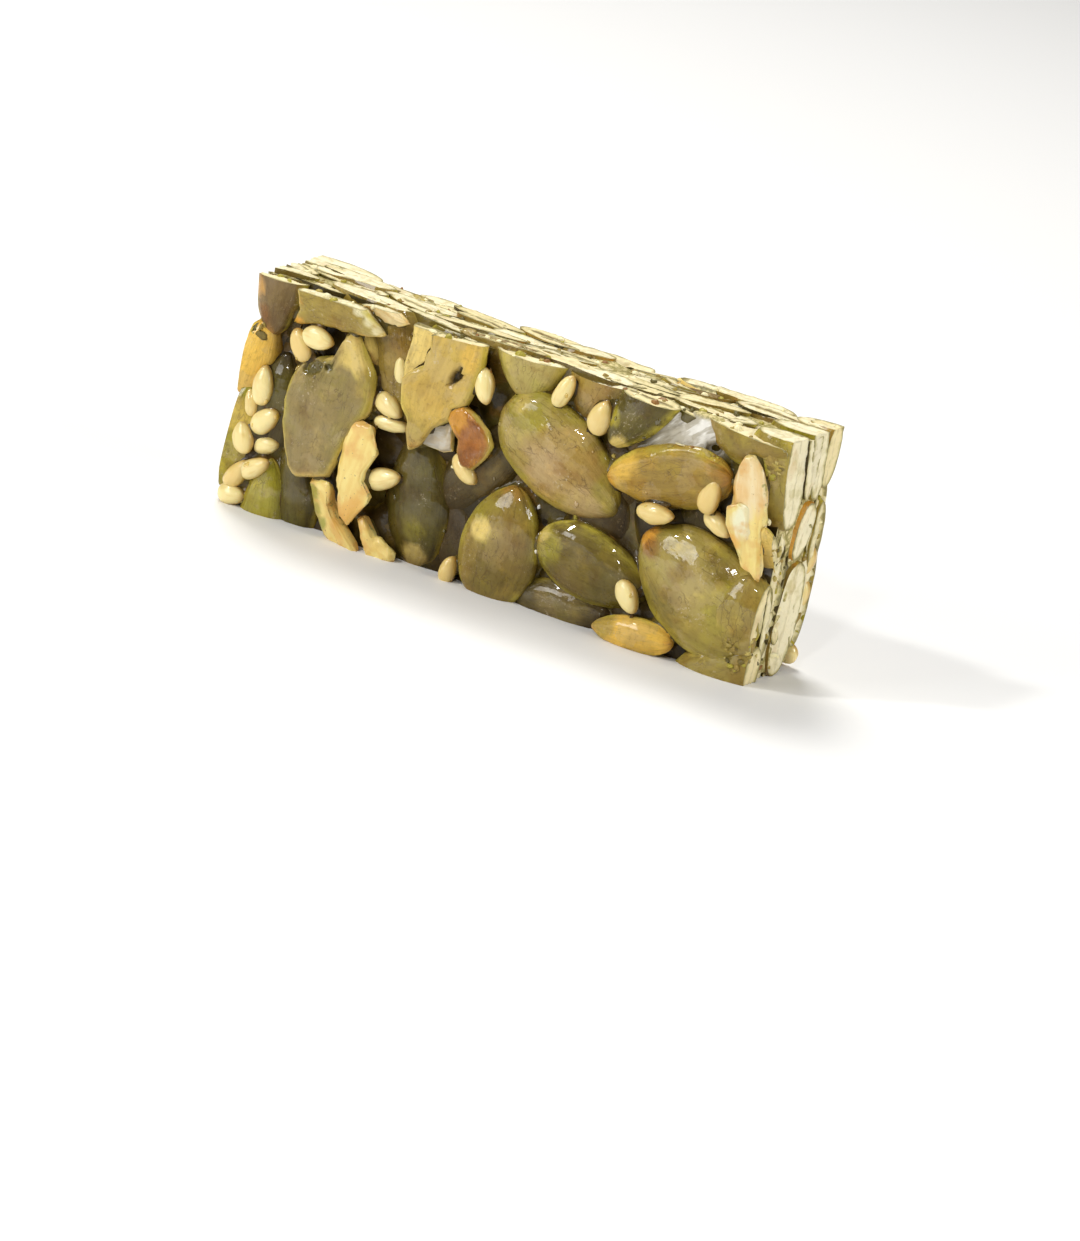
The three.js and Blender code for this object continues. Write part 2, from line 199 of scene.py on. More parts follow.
# outlines of the broken ones in the near face, by number: x, z
brokenOutlines = {
    140: [
        (-8.8, 22.6), (-6.0, 24.2), (-3.3, 24.2), (-3.1, 20.4), (-3.6, 17.6), (-4.1, 16.3), (-5.3, 15.7),
        (-5.5, 14.5), (-7.2, 13.3), (-8.1, 11.4), (-9.2, 10.6), (-9.7, 12.1), (-9.7, 13.5), (-10.7, 14.5),
        (-11.0, 17.2), (-10.0, 18.2), (-9.0, 18.9), (-8.9, 20.1), (-8.2, 21.1),
    ],
    141: [
        (-11.2, 23.4), (-7.8, 24.0), (-7.7, 20.8), (-8.9, 19.6), (-8.9, 18.4), (-10.2, 16.9), (-11.1, 16.6),
        (-11.3, 18.4), (-11.0, 20.3), (-10.9, 21.5),
    ],
    142: [
        (-23.8, 23.6), (-18.3, 23.8), (-15.8, 22.0), (-13.5, 20.2), (-15.0, 19.8), (-18.0, 19.2),
        (-21.2, 19.0), (-23.9, 18.2), (-23.1, 20.0), (-23.1, 21.2),
    ],
    143: [
        (-21.8, 15.3), (-20.2, 16.3), (-18.2, 17.0), (-17.3, 19.4), (-16.3, 19.3), (-14.8, 17.5),
        (-13.9, 16.3), (-13.8, 14.5), (-13.9, 12.7), (-14.9, 11.2), (-15.6, 9.4), (-16.3, 7.5),
        (-16.9, 5.7), (-20.3, 4.7), (-21.2, 5.3), (-22.1, 7.0), (-22.8, 9.1), (-23.2, 11.7),
        (-23.0, 13.2), (-22.5, 14.5),
    ],
    144: [
        (-5.7, 15.7), (-4.4, 16.4), (-2.8, 15.8), (-1.3, 14.8), (-0.6, 13.6), (-1.2, 12.3), (-2.4, 10.8),
        (-3.5, 10.9), (-4.2, 12.1), (-4.2, 13.3), (-5.1, 14.1), (-5.7, 14.8),
    ],
    150: [
        (-15.3, 12.1), (-13.2, 11.8), (-12.6, 10.8), (-11.9, 9.6), (-12.5, 8.3), (-12.9, 7.6), (-13.0, 6.3),
        (-11.6, 5.3), (-12.7, 3.8), (-13.5, 2.7), (-13.9, 2.0), (-14.9, 2.7), (-15.4, 4.4), (-15.9, 6.1),
        (-16.1, 7.9), (-16.0, 9.8), (-15.7, 11.0),
    ],
    151: [
        (-19.0, 4.9), (-17.7, 5.4), (-16.2, 5.7), (-15.9, 4.6), (-16.1, 3.6), (-15.2, 2.5), (-13.9, 1.3),
        (-12.4, 0.3), (-12.2, -0.5), (-13.4, -1.3), (-14.8, -1.1), (-16.6, -0.3), (-17.8, 1.2), (-18.6, 2.9),
    ],
    152: [
        (-13.4, 3.0), (-12.8, 3.3), (-11.4, 1.8), (-10.6, 1.9), (-8.9, 0.8), (-8.9, 0.0), (-9.9, -0.9),
        (-11.0, -1.4), (-11.7, 0.1), (-12.5, 1.0),
    ],
    153: [
        (24.1, 20.4), (24.9, 20.6), (26.1, 19.6), (26.8, 17.4), (27.1, 15.0), (27.1, 13.1), (27.6, 11.3),
        (27.7, 9.8), (27.0, 10.4), (25.7, 10.5), (24.8, 11.8), (23.9, 13.1), (23.2, 14.5), (23.3, 16.5),
        (23.2, 18.2),
    ],
    154: [(-7.7, 13.6), (-5.4, 14.6), (-5.0, 11.7), (-6.0, 11.3), (-8.5, 11.5)],
    155: [
        (-17.2, 23.5), (-15.5, 23.6), (-13.0, 22.6), (-11.4, 22.0), (-12.5, 21.2), (-14.3, 20.8),
        (-15.8, 21.3), (-16.8, 22.3),
    ],
    156: [
        (23.3, 15.5), (24.3, 16.2), (25.6, 16.1), (26.2, 13.6), (26.9, 10.5), (25.9, 10.8), (24.5, 12.6),
        (23.5, 14.0),
    ],
    157: [(26.2, 14.8), (27.0, 14.4), (27.9, 12.4), (28.4, 10.6), (28.3, 9.4), (27.3, 10.2), (26.5, 12.3)],
}
farStray = {"x": 0.7, "z": 0.4, "turn": 14}
tonePatchesAndPaintedLight = {  # by kernel number: x, z, radius, tone, strength; some of them are painted highlight, sheen or shade
    100: [
        # painted sheen: the khaki and film patches over the middle; painted highlight: the straw patch at the
        # upper left
        (6.4, 13.4, 4.2, "khaki", 0.85), (8.8, 10.6, 2.2, "film", 0.6), (5.0, 13.4, 2.0, "film", 0.5),
        (2.0, 17.8, 2.2, "leaf", 0.5), (1.4, 18.2, 0.9, "straw", 0.5),
    ],
    101: [
        (11.0, 16.2, 2.8, "amber", 0.8), (22.8, 17.2, 2.2, "olive", 0.8), (18.0, 16.4, 3.4, "olive", 0.6),
    ],
    102: [
        # painted highlight: the straw patch left of the middle
        (-0.2, 6.0, 1.2, "straw", 0.95), (-0.6, 8.6, 1.8, "leaf", 0.4), (3.0, 3.6, 2.6, "bark", 0.5),
        (1.0, 1.6, 2.0, "dark", 0.4),
    ],
    103: [
        # painted highlight: the straw patch at the left tip; painted shade: the dark patch at the lower right
        (6.2, 6.8, 2.0, "leaf", 0.7), (5.8, 7.6, 0.9, "straw", 0.6), (13.6, 3.4, 3.0, "dark", 0.6),
        (9.0, 3.0, 2.0, "bark", 0.4),
    ],
    104: [
        # painted highlight: the sage patch over the upper middle; painted shade: the dark patch at the lower
        # left
        (15.6, 10.4, 1.4, "orange", 0.8), (16.6, 9.4, 1.0, "russet", 0.8), (20.4, 8.4, 3.0, "sage", 0.5),
        (25.2, 7.0, 2.2, "leaf", 0.6), (17.6, 3.6, 3.0, "dark", 0.5), (23.2, 9.6, 1.6, "moss", 0.4),
    ],
    105: [(-2.0, 22.0, 2.4, "leaf", 0.4)],
    106: [(7.4, 21.8, 2.2, "khaki", 0.6)],
    107: [(10.5, 19.8, 0.9, "leaf", 0.9), (11.6, 17.2, 1.1, "straw", 0.8), (13.4, 20.4, 2.2, "dark", 0.7)],
    108: [(22.5, 22.0, 2.0, "leaf", 0.3)],
    109: [(-28.0, 21.0, 1.1, "orange", 0.7), (-27.0, 18.6, 1.1, "russet", 0.8)],
    110: [(-15.4, 18.6, 1.6, "straw", 0.7), (-15.6, 17.0, 1.2, "russet", 0.6)],
    111: [(-7.6, 3.4, 1.2, "leaf", 0.35), (-7.4, 0.8, 1.4, "tan", 0.6)],
    113: [(-28.0, 8.6, 2.0, "yellow", 0.7)],
    131: [(-0.4, 9.4, 2.2, "grey", 0.6)],
    132: [(8.5, 1.4, 2.6, "grey", 0.5)],
    136: [(13.4, 1.4, 1.5, "lime", 0.7), (17.6, 0.6, 1.4, "ochre", 0.5)],
    140: [(-3.9, 20.6, 1.4, "amber", 0.7), (-9.0, 13.2, 1.6, "lime", 0.6)],
    142: [
        (-23.6, 18.6, 1.3, "orange", 0.9), (-18.8, 21.4, 1.6, "olive", 0.35),
        (-17.2, 22.7, 0.7, "flesh", 0.9), (-16.2, 21.9, 0.65, "flesh", 0.9),
        (-15.2, 21.1, 0.6, "flesh", 0.9), (-14.3, 20.5, 0.5, "flesh", 0.9),
    ],
    143: [
        (-20.0, 15.0, 1.6, "moss", 0.6), (-22.2, 14.5, 1.2, "lime", 0.6), (-15.9, 17.6, 1.7, "straw", 0.85),
        (-14.4, 15.6, 1.2, "lime", 0.7),
    ],
    144: [(-4.6, 15.2, 1.4, "orange", 0.7)],
    150: [(-13.6, 3.4, 1.6, "orange", 0.7)],
    151: [
        (-18.2, 4.0, 0.8, "leaf", 0.9), (-17.8, 2.6, 0.7, "leaf", 0.9), (-16.9, 1.2, 0.7, "leaf", 0.9),
        (-14.6, 1.6, 1.2, "orange", 0.5),
    ],
    153: [(25.4, 18.0, 2.6, "blush", 0.8), (24.2, 17.0, 1.0, "orange", 0.3)],
    155: [(-14.4, 22.0, 2.4, "blush", 0.7)],
    156: [(24.2, 12.6, 0.9, "orange", 0.8), (25.2, 14.6, 1.3, "flesh", 0.8)],
    157: [(27.4, 11.6, 1.4, "flesh", 0.7)],
}
skinPits = {  # by number: x, z, half width and height, turn, depth, tone
    # painted shade: the floor of this hole takes the shade tone
    140: [(-5.5, 18.7, 0.42, 0.75, -22, 0.8, "shade")],
    143: [(-20.3, 15.3, 1.2, 0.7, 20, 0.4, "dark"), (-18.6, 15.8, 0.4, 0.35, 0, 0.3, "dark")],
}
kernelForm = {
    "ends": (0.6, 0.46),  # how blunt the tip and the back are, where 0.5 is an ellipse
    "flakeEnds": (0.24, 0.2),
    "faceFullness": 0.4,
    "sectionFullness": 0.95,
    "nearDetail": (52, 34),
    "farDetail": (36, 24),
    "innerDetail": (32, 22),
    "curlFrom": 0.35,  # where a curled kernel crosses its own middle plane
    "grooveAt": 0.5,  # how far up the side the groove inside the rim runs
    "grooveWidth": 0.16,
    "flatFace": 0.8,  # share of the raggedness that the flat faces are spared
}
# the surfaces: how much they curl, how deep the groove inside the rim is, the waves as how many to a mm and
# how high, and the same of the ragged rim


def surfaceForm(curl, groove, waves, ragged=()):
    return {"curl": curl, "groove": groove, "waves": waves, "ragged": ragged}


innerSurface = surfaceForm(0.3, 0.04, ((0.35, 0.16), (1.0, 0.06), (2.6, 0.02)))
wholeSurface = surfaceForm(0.22, 0.07, ((0.30, 0.16), (0.9, 0.07), (2.4, 0.022)))
flakeSurface = surfaceForm(0.25, 0.0, ((0.6, 0.12), (2.4, 0.03)), ((0.4, 1.6), (1.1, 0.7)))
bareSurface = surfaceForm(0.3, 0.05, ((0.4, 0.2), (1.1, 0.12), (2.6, 0.04)), ((0.7, 0.4),))
sesameSurface = surfaceForm(0.05, 0.0, ((0.45, 0.14), (1.1, 0.05), (3.0, 0.015)))
gapSurface = surfaceForm(0.0, 0.0, ((0.5, 0.04),))
brokenForm = {
    "ends": (0.5, 0.5),
    "thinned": 0.62,
    "squareness": 5,
    "thickest": 2.2,  # how much higher the flat faces go near the rim
    "ragged": 0.12,
    "spread": 1.3,  # how early the outline takes over on the way out
    "rimTone": "straw",
    "rim": 0.85,
    "rimFrom": 0.90,
    "rimWidth": 0.06,
}
standsOut = {112: 0.7, 113: 1.0}  # mm that some kernels stand out of the left end
hollowForm = {
    "share": 0.74,
    "detail": (20, 12),
    "tight": (0.10, 0.22),
    "wide": (0.45, 0.95),
    "wideShare": 0.14,
    "closedShare": 0.72,  # kernels whose halves haven't parted
}
cutForm = {
    "step": 0.45,  # mm, the longest edge in a cut
    "rounds": 5,
    "waves": ((0.7, 0.15), (2.0, 0.07), (4.5, 0.02)),
    "ledge": 0.34,
    "ledgeShare": 0.34,
    "ledgeSteepness": 4,
}
patchForm = {"waves": ((0.8, 0.4), (2.4, 0.2)), "fullAt": 1.1, "edge": 0.34}
pitForm = {"waves": ((1.5, 0.25),), "floorWaves": ((2.2, 0.3),), "fullAt": 1.1, "edge": 0.25, "around": 1.4}
pitRim = {"at": 1.25, "width": 0.2, "height": 0.12}


def fuller(value, power):
    return math.copysign(abs(value) ** power, value)


def wavy(point, waves, offset=Vector()):
    return sum(noise.noise((point + offset) * rate) * height for rate, height in waves)


def startMesh():
    bm = bmesh.new()
    bm.verts.layers.float_vector.new("seedPlace")  # along the seed, and the two ways across it
    bm.verts.layers.float_color.new("seedTone")
    bm.verts.layers.float.new("seedChance")  # a draw that sets each seed apart
    bm.verts.layers.float.new("cutDepth")  # mm in from the skin, in a cut
    bm.verts.layers.float.new("cutSplit")  # mm from the plane where the halves of a kernel meet
    return bm


spheres = {}


def addSphere(bm, detail):
    # The operator gives a sphere in another order each run, so it is put in order, once for each detail.
    if detail not in spheres:
        ball = startMesh()
        turned = Matrix.Rotation(math.pi / 2, 4, "Y")
        bmesh.ops.create_uvsphere(ball, u_segments=detail[0], v_segments=detail[1], radius=1, matrix=turned)

        around, rings = (2 * steps for steps in detail)  # half steps round, and from pole to pole

        def orderOf(point):
            ring = round(rings * point.angle(Vector((1, 0, 0))) / math.pi)
            return ring * around + round(around * math.atan2(point.y, point.z) / (2 * math.pi)) % around

        ball.verts.sort(key=lambda v: orderOf(v.co))
        ball.edges.sort(key=lambda e: orderOf((e.verts[0].co + e.verts[1].co) / 2))
        ball.faces.sort(key=lambda f: orderOf(f.calc_center_median()))
        spheres[detail] = bpy.data.meshes.new("sphere")
        ball.to_mesh(spheres[detail])
        ball.free()
    bm.from_mesh(spheres[detail])


def growSeed(size, ends, detail, number, tone, form):
    # A seed along X with its tip at +X, flat side up, in its own bmesh.
    bm = startMesh()
    addSphere(bm, detail)
    placeLayer = bm.verts.layers.float_vector["seedPlace"]
    toneLayer = bm.verts.layers.float_color["seedTone"]
    chanceLayer = bm.verts.layers.float["seedChance"]
    tipPower, backPower = ends
    total = tipPower + backPower
    widest = (2 * tipPower / total) ** tipPower * (2 * backPower / total) ** backPower
    chance = draw(number, "chance", 0, 1)
    for v in bm.verts:
        u = max(-1, min(1, v.co.x))
        ring = math.hypot(v.co.y, v.co.z) or 1
        side, top = v.co.y / ring, v.co.z / ring
        widthHere = (1 - u) ** tipPower * (1 + u) ** backPower / widest
        thicknessHere = (1 - u * u) ** kernelForm["faceFullness"]
        v[placeLayer] = Vector((u, side, top))
        v[toneLayer] = tones[tone]
        v[chanceLayer] = chance
        v.co.x = u * size[0] / 2
        v.co.y = widthHere * fuller(side, kernelForm["sectionFullness"]) * size[1] / 2
        v.co.z = thicknessHere * fuller(top, kernelForm["sectionFullness"]) * size[2] / 2
        v.co.z += draw(number, "curl", -form["curl"], form["curl"]) * (u * u - kernelForm["curlFrom"])
    bm.normal_update()
    offset = Vector((number * 7.3, number * 3.1, number * 1.7))
    for v in bm.verts:
        flat = abs(v[placeLayer].z)
        offGroove = (flat - kernelForm["grooveAt"]) / kernelForm["grooveWidth"]
        dip = form["groove"] * math.exp(-(offGroove ** 2))
        v.co += v.normal * (wavy(v.co, form["waves"], offset) - dip)
        torn = brokenForm["ragged"] if number in brokenOutlines else 1
        v.co += v.normal * wavy(v.co, form["ragged"], offset) * (1 - flat * kernelForm["flatFace"]) * torn
    for f in bm.faces:
        f.smooth = True
    return bm


def addHollow(bm, size, ends, number):
    # The two halves of a kernel part in the middle, and the gap shows where the knife goes through.
    lot = draw(number, "hollow", 0, 1)
    if lot > 1 - hollowForm["closedShare"] or number in cleanCuts:
        return
    gap = draw(number, "gap", *hollowForm["wide" if lot < hollowForm["wideShare"] else "tight"])
    inner = [size[0] * hollowForm["share"], size[1] * hollowForm["share"], gap]
    gapBm = growSeed(inner, ends, hollowForm["detail"], number, "tan", gapSurface)
    bmesh.ops.reverse_faces(gapBm, faces=gapBm.faces)
    for f in gapBm.faces:
        f.material_index = 2
    addInto(bm, gapBm)


def addInto(whole, part):
    held = bpy.data.meshes.new("held")
    part.to_mesh(held)
    part.free()
    whole.from_mesh(held)
    bpy.data.meshes.remove(held)


def layOf(x, y, z, turn, lean, pitch, far):
    # Into the rolled face that looks along -Y, or turned about with the bar into the far one.
    place = Matrix.Translation((x, y, z))
    place = place @ Matrix.Rotation(math.radians(turn), 4, (0, -1, 0))
    place = place @ Matrix.Rotation(math.pi / 2, 4, "X")
    place = place @ Matrix.Rotation(math.radians(pitch), 4, "Y")
    place = place @ Matrix.Rotation(math.radians(lean), 4, "X")
    if far:
        place = Matrix.Rotation(math.pi, 4, "Z") @ place
    return place


def layIn(bm, *place, **named):
    laid = layOf(*place, **named)
    bmesh.ops.transform(bm, matrix=laid, verts=bm.verts)
    return laid


def reachOf(corners, angle):
    # How far an outline is from its middle, in one direction.
    way = Vector((math.cos(angle), math.sin(angle)))
    furthest = 0
    for i, end in enumerate(corners):
        start, run = corners[i - 1], end - corners[i - 1]
        across = way.x * run.y - way.y * run.x
        if abs(across) < 1e-9:
            continue
        along = (way.y * start.x - way.x * start.y) / across
        if 0 <= along <= 1:
            furthest = max(furthest, (start.x * run.y - start.y * run.x) / across)
    return furthest


def breakOff(bm, number, laid):
    # A broken piece takes its own outline, a plate's flat faces and a pale broken rim.
    unlaid = laid.inverted()
    y = laid.translation.y
    corners = [(unlaid @ Vector((x, y, z))).xy for x, z in brokenOutlines[number]]
    placeLayer = bm.verts.layers.float_vector["seedPlace"]
    toneLayer = bm.verts.layers.float_color["seedTone"]
    rim = [v.co for v in bm.verts if abs(v[placeLayer].z) < 1e-4]
    ring = sorted((math.atan2(co.y, co.x), co.xy.length) for co in rim)
    ring = [(ring[-1][0] - 2 * math.pi, ring[-1][1])] + ring + [(ring[0][0] + 2 * math.pi, ring[0][1])]
    usual = sum(reachOf(corners, angle) / reach for angle, reach in ring) / len(ring)
    rimTone = Vector(tones[brokenForm["rimTone"]])
    for v in bm.verts:
        angle = math.atan2(v.co.y, v.co.x)
        i = next(i for i in range(1, len(ring)) if ring[i][0] >= angle)
        (lowAngle, low), (highAngle, high) = ring[i - 1], ring[i]
        reach = low + (high - low) * (angle - lowAngle) / max(1e-9, highAngle - lowAngle)
        out = min(1, v.co.xy.length / reach)
        share = min(1, out * brokenForm["spread"]) ** 2
        wider = usual + (reachOf(corners, angle) / reach - usual) * share
        level = math.sqrt(1 - out ** (2 * brokenForm["squareness"])) / max(0.3, math.sqrt(1 - out * out))
        v.co = Vector((v.co.x * wider, v.co.y * wider, v.co.z * min(brokenForm["thickest"], level)))
        pale = brokenForm["rim"] * within((out - brokenForm["rimFrom"]) / brokenForm["rimWidth"])
        v[toneLayer] = Vector(v[toneLayer]).lerp(rimTone, pale)


def boxOf(bm):
    low = Vector(min(v.co[i] for v in bm.verts) for i in range(3))
    high = Vector(max(v.co[i] for v in bm.verts) for i in range(3))
    return low, high


def reachPast(side, low, high):
    if side.x > 0:
        return high.x - bar["length"] / 2
    if side.x < 0:
        return -bar["length"] / 2 - low.x
    if side.z > 0:
        return high.z - bar["height"]
    return -low.z


def sliceOff(bm, at, outward):
    whole = bm.verts[:] + bm.edges[:] + bm.faces[:]
    cut = bmesh.ops.bisect_plane(bm, geom=whole, dist=1e-5, plane_co=at, plane_no=outward, clear_outer=True)
    rim = [e for e in cut["geom_cut"] if isinstance(e, bmesh.types.BMEdge)]
    if not rim:
        return
    filled = bmesh.ops.triangle_fill(bm, edges=rim, use_beauty=True, normal=outward)
    for f in filled["geom"]:
        if isinstance(f, bmesh.types.BMFace):
            f.material_index = 1
            f.smooth = True
    for e in rim:
        e.smooth = False


def knifeCut(bm, number, low, high):
    middle = (low + high) / 2
    clean = number in cleanCuts
    for i, side in enumerate(cutSides):
        if reachPast(side, low, high) <= 0:
            continue
        tilt = 0 if side.z < 0 else bar["knifeTilt"] * (bar["cleanTilt"] if clean else 1)
        deepest = bar["deepestBite"] * (bar["cleanBite"] if clean else 1)
        bite = 0 if side.z < 0 else draw(number, "bite", 0, deepest, i)
        if side.x < 0:
            bite -= standsOut.get(number, 0)
        if side.x > 0 and not clean:
            y, z, radius = endHollow
            bite += bar["tornOut"] * max(0, 1 - math.hypot(middle.y - y, middle.z - z) / radius)
        lean = Matrix.Rotation(math.radians(draw(number + 40 * i, "tiltAlong", -tilt, tilt)), 3, "Y")
        lean = lean @ Matrix.Rotation(math.radians(draw(number + 40 * i, "tiltAcross", -tilt, tilt)), 3, "X")
        outward = Vector((0, 0, 1)).rotation_difference(side).to_matrix() @ lean @ Vector((0, 0, 1))
        at = middle.copy()
        if side.x:
            at.x = side.x * (bar["length"] / 2 - bite)
        if side.z:
            at.z = bar["height"] - bite if side.z > 0 else 0
        sliceOff(bm, at, outward)
    clipToBar(bm, standsOut.get(number, 0))


def clipToBar(bm, spare=0.0):  # nothing leaves the bar's own box, but for what stands out of an end
    for side in cutSides:
        if not bm.verts:
            return
        low, high = boxOf(bm)
        if reachPast(side, low, high) > 0.01 + abs(side.x) * spare:
            end = side.x * (bar["length"] / 2 + spare)
            sliceOff(bm, Vector((end, 0, max(0, side.z) * bar["height"])), side)


def isCut(f):
    return f.material_index == 1


def edgesInCuts(bm):  # in the mesh's own order, so that each run gives the same
    return [e for e in bm.edges if len(e.link_faces) and all(isCut(f) for f in e.link_faces)]


def roughenCuts(bm, number, laid):
    # Cut flesh gets small faces, a crumbly relief, and on some kernels one half a ledge lower.
    for _ in range(cutForm["rounds"]):
        longEdges = [e for e in edgesInCuts(bm) if e.calc_length() > cutForm["step"]]
        if not longEdges:
            break
        bmesh.ops.subdivide_edges(bm, edges=longEdges, cuts=1)
        faces = [f for f in bm.faces if isCut(f)]
        bmesh.ops.triangulate(bm, faces=faces)
        faces = [f for f in bm.faces if isCut(f)]
        bmesh.ops.beautify_fill(bm, faces=faces, edges=edgesInCuts(bm))
    bm.normal_update()
    placeLayer = bm.verts.layers.float_vector["seedPlace"]
    offset = Vector((number * 5.1, number * 2.7, number * 4.3))
    ledge = cutForm["ledge"] if draw(number, "ledge", 0, 1) < cutForm["ledgeShare"] else 0
    half = 1 if draw(number, "ledgeHalf", 0, 1) < 0.5 else -1  # which of the two
    rims = [e for e in bm.edges if {isCut(f) for f in e.link_faces} == {True, False}]
    near = KDTree(max(1, len(rims) * 2))
    for i, e in enumerate(rims):
        near.insert(e.verts[0].co, 2 * i)
        near.insert((e.verts[0].co + e.verts[1].co) / 2, 2 * i + 1)
    near.balance()
    depthLayer = bm.verts.layers.float["cutDepth"]
    splitLayer = bm.verts.layers.float["cutSplit"]
    unlaid = laid.inverted()
    chanceLayer = bm.verts.layers.float["seedChance"]
    moves = []
    for v in bm.verts:
        if not v.link_faces or not all(isCut(f) for f in v.link_faces):
            continue
        v[chanceLayer] = draw(number, "chance", 0, 1)
        v[depthLayer] = near.find(v.co)[2] if rims else 1
        v[splitLayer] = abs((unlaid @ v.co).z)
        height = wavy(v.co, cutForm["waves"], offset)
        height -= ledge * within(v[placeLayer].z * half * cutForm["ledgeSteepness"])
        moves.append((v, v.normal * height))
    for v, move in moves:
        v.co += move
        v.co.z = max(0, v.co.z)
    for f in bm.faces:
        if isCut(f):
            f.smooth = True


def holdIn(bm):
    # The board and the roller pressed both faces level.
    level = bar["thickness"] / 2 - bar["pressed"]
    for v in bm.verts:
        past = abs(v.co.y) - level
        if past > 0:
            v.co.y = math.copysign(level + past * bar["springBack"], v.co.y)


def paintTonesAndPaintedLight(bm, number):
    # Spots of another tone, where the near face has them; some are painted highlight, sheen or shade.
    toneLayer = bm.verts.layers.float_color["seedTone"]
    for x, z, radius, tone, strength in tonePatchesAndPaintedLight.get(number, ()):
        for v in bm.verts:
            away = math.hypot(v.co.x - x, v.co.z - z) / radius + wavy(v.co, patchForm["waves"])
            share = strength * within((patchForm["fullAt"] - away) / patchForm["edge"])
            v[toneLayer] = Vector(v[toneLayer]).lerp(Vector(tones[tone]), share)


def sinkPits(bm, number):
    # A hole or a dent where a broken one of the near face has one, its floor painted dark; the hole's floor
    # is painted shade.
    toneLayer = bm.verts.layers.float_color["seedTone"]
    for x, z, width, height, turn, depth, tone in skinPits.get(number, ()):
        middle = Vector((x, z))
        back = Matrix.Rotation(math.radians(-turn), 2)
        reach = pitForm["around"] * max(width, height)
        close = [e for e in bm.edges if all((v.co.xz - middle).length < reach for v in e.verts)]
        bmesh.ops.subdivide_edges(bm, edges=close, cuts=2, use_grid_fill=True)
        for v in bm.verts:
            place = back @ (v.co.xz - middle)
            away = math.hypot(place.x / width, place.y / height) + wavy(v.co, pitForm["waves"])
            inside = within((pitForm["fullAt"] - away) / pitForm["edge"])
            rim = pitRim["height"] * max(0, 1 - abs(away - pitRim["at"]) / pitRim["width"])
            v.co.y += depth * (inside * (1 + wavy(v.co, pitForm["floorWaves"])) - rim)
            v[toneLayer] = Vector(v[toneLayer]).lerp(Vector(tones[tone]), inside)


def makeKernel(whole, size, place, ends, detail, number, tone, surface):
    # One kernel of the bar: grown, laid in its place, cut where it passes a cut, and added to its kind.
    bm = growSeed(size, ends, detail, number, tone, surface)
    if number in brokenOutlines:
        breakOff(bm, number, layOf(**place))
    laid = layIn(bm, **place)
    holdIn(bm)
    paintTonesAndPaintedLight(bm, number)
    sinkPits(bm, number)
    low, high = boxOf(bm)
    if any(reachPast(side, low, high) > 0 for side in cutSides):
        if ends == kernelForm["ends"]:
            hollow = startMesh()
            addHollow(hollow, size, ends, number)
            layIn(hollow, **place)
            addInto(bm, hollow)
        knifeCut(bm, number, low, high)
        dropSealed(bm)
        roughenCuts(bm, number, laid)
    addInto(whole, bm)


def dropSealed(bm):
    # A gap that no cut reached is hidden, so it goes.
    seen = set()
    for start in list(bm.faces):
        if not start.is_valid or start in seen or start.material_index != 2:
            continue
        shell, todo = {start}, [start]
        while todo:
            face = todo.pop()
            for e in face.edges:
                for other in e.link_faces:
                    if other not in shell:
                        shell.add(other)
                        todo.append(other)
        seen |= shell
        if all(f.material_index == 2 for f in shell):
            bmesh.ops.delete(bm, geom=[f for f in bm.faces if f in shell], context="FACES")
            return


def finishKind(name, whole, materials):
    bmesh.ops.scale(whole, vec=(mm, mm, mm), verts=whole.verts)
    mesh = bpy.data.meshes.new(name)
    whole.to_mesh(mesh)
    whole.free()
    piece = bpy.data.objects.new(name, mesh)
    bpy.context.scene.collection.objects.link(piece)
    for material in materials:
        mesh.materials.append(material)
    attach(piece, "root")
    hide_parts(barNode)
    print(f"{name}: {sum(len(p.vertices) - 2 for p in mesh.polygons)} triangles")
    return piece


def rolledFace(whole, rows, firstNumber, far, ends, surface):
    stray = farStray if far else {"x": 0, "z": 0, "turn": 0}
    for i, (x, z, depth, length, width, turn, lean, pitch, tone) in enumerate(rows):
        number = firstNumber + i
        thickness = kernelSize["thickness"] * (width / kernelSize["width"]) ** kernelSize["thicknessPower"]
        if number in brokenOutlines:
            thickness *= brokenForm["thinned"]
        elif ends == kernelForm["ends"]:
            thickness *= kernelSize["plumpness"]
        place = {
            "x": x + draw(number, "strayX", -stray["x"], stray["x"]),
            "y": -bar["thickness"] / 2 + depth + thickness / 2,
            "z": z + draw(number, "strayZ", -stray["z"], stray["z"]),
            "turn": turn + draw(number, "strayTurn", -stray["turn"], stray["turn"]),
            "lean": lean,
            "pitch": pitch,
            "far": far,
        }
        detail = kernelForm["farDetail"] if far else kernelForm["nearDetail"]
        if far and surface is wholeSurface:
            tone = anyTone(number)
        broken = number in brokenOutlines
        form = brokenForm["ends"] if broken else ends
        makeKernel(whole, (length, width, thickness), place, form, detail, number, tone, surface)


# Kernels whose broad sections make up most of the right end
# x, y, z, length, width, thickness, turn, lean, pitch, tone

endKernels = [
    (26.6, -2.7, 19.2, 10.6, 8.0, 4.2, 94, 10, -6, "green"),
    (26.4, -4.0, 6.2, 7.4, 7.6, 3.2, 88, 4, 2, "green"),
    (26.8, 1.3, 5.4, 11.0, 8.4, 4.5, 91, -6, 5, "olive"),
    (26.4, 0.9, 20.6, 9.6, 7.6, 3.0, 86, 8, -10, "leaf"),
    (26.9, 3.8, 20.2, 6.4, 6.6, 2.7, 92, -8, 6, "ochre"),
    (26.9, 1.0, 13.6, 5.6, 6.0, 3.4, 80, 10, 20, "orange"),
    (27.4, -3.2, 11.8, 7.8, 2.6, 1.3, 92, 6, -40, "cream"),
    (26.8, 3.9, 13.0, 7.0, 6.4, 2.3, 96, 0, -4, "green"),
]
cleanCuts = range(firstNumbers["end"], firstNumbers["end"] + len(endKernels))
endHollow = (-2.4, 12.0, 3.4)  # y and z of the hollow where the knife tore kernels out, and its radius


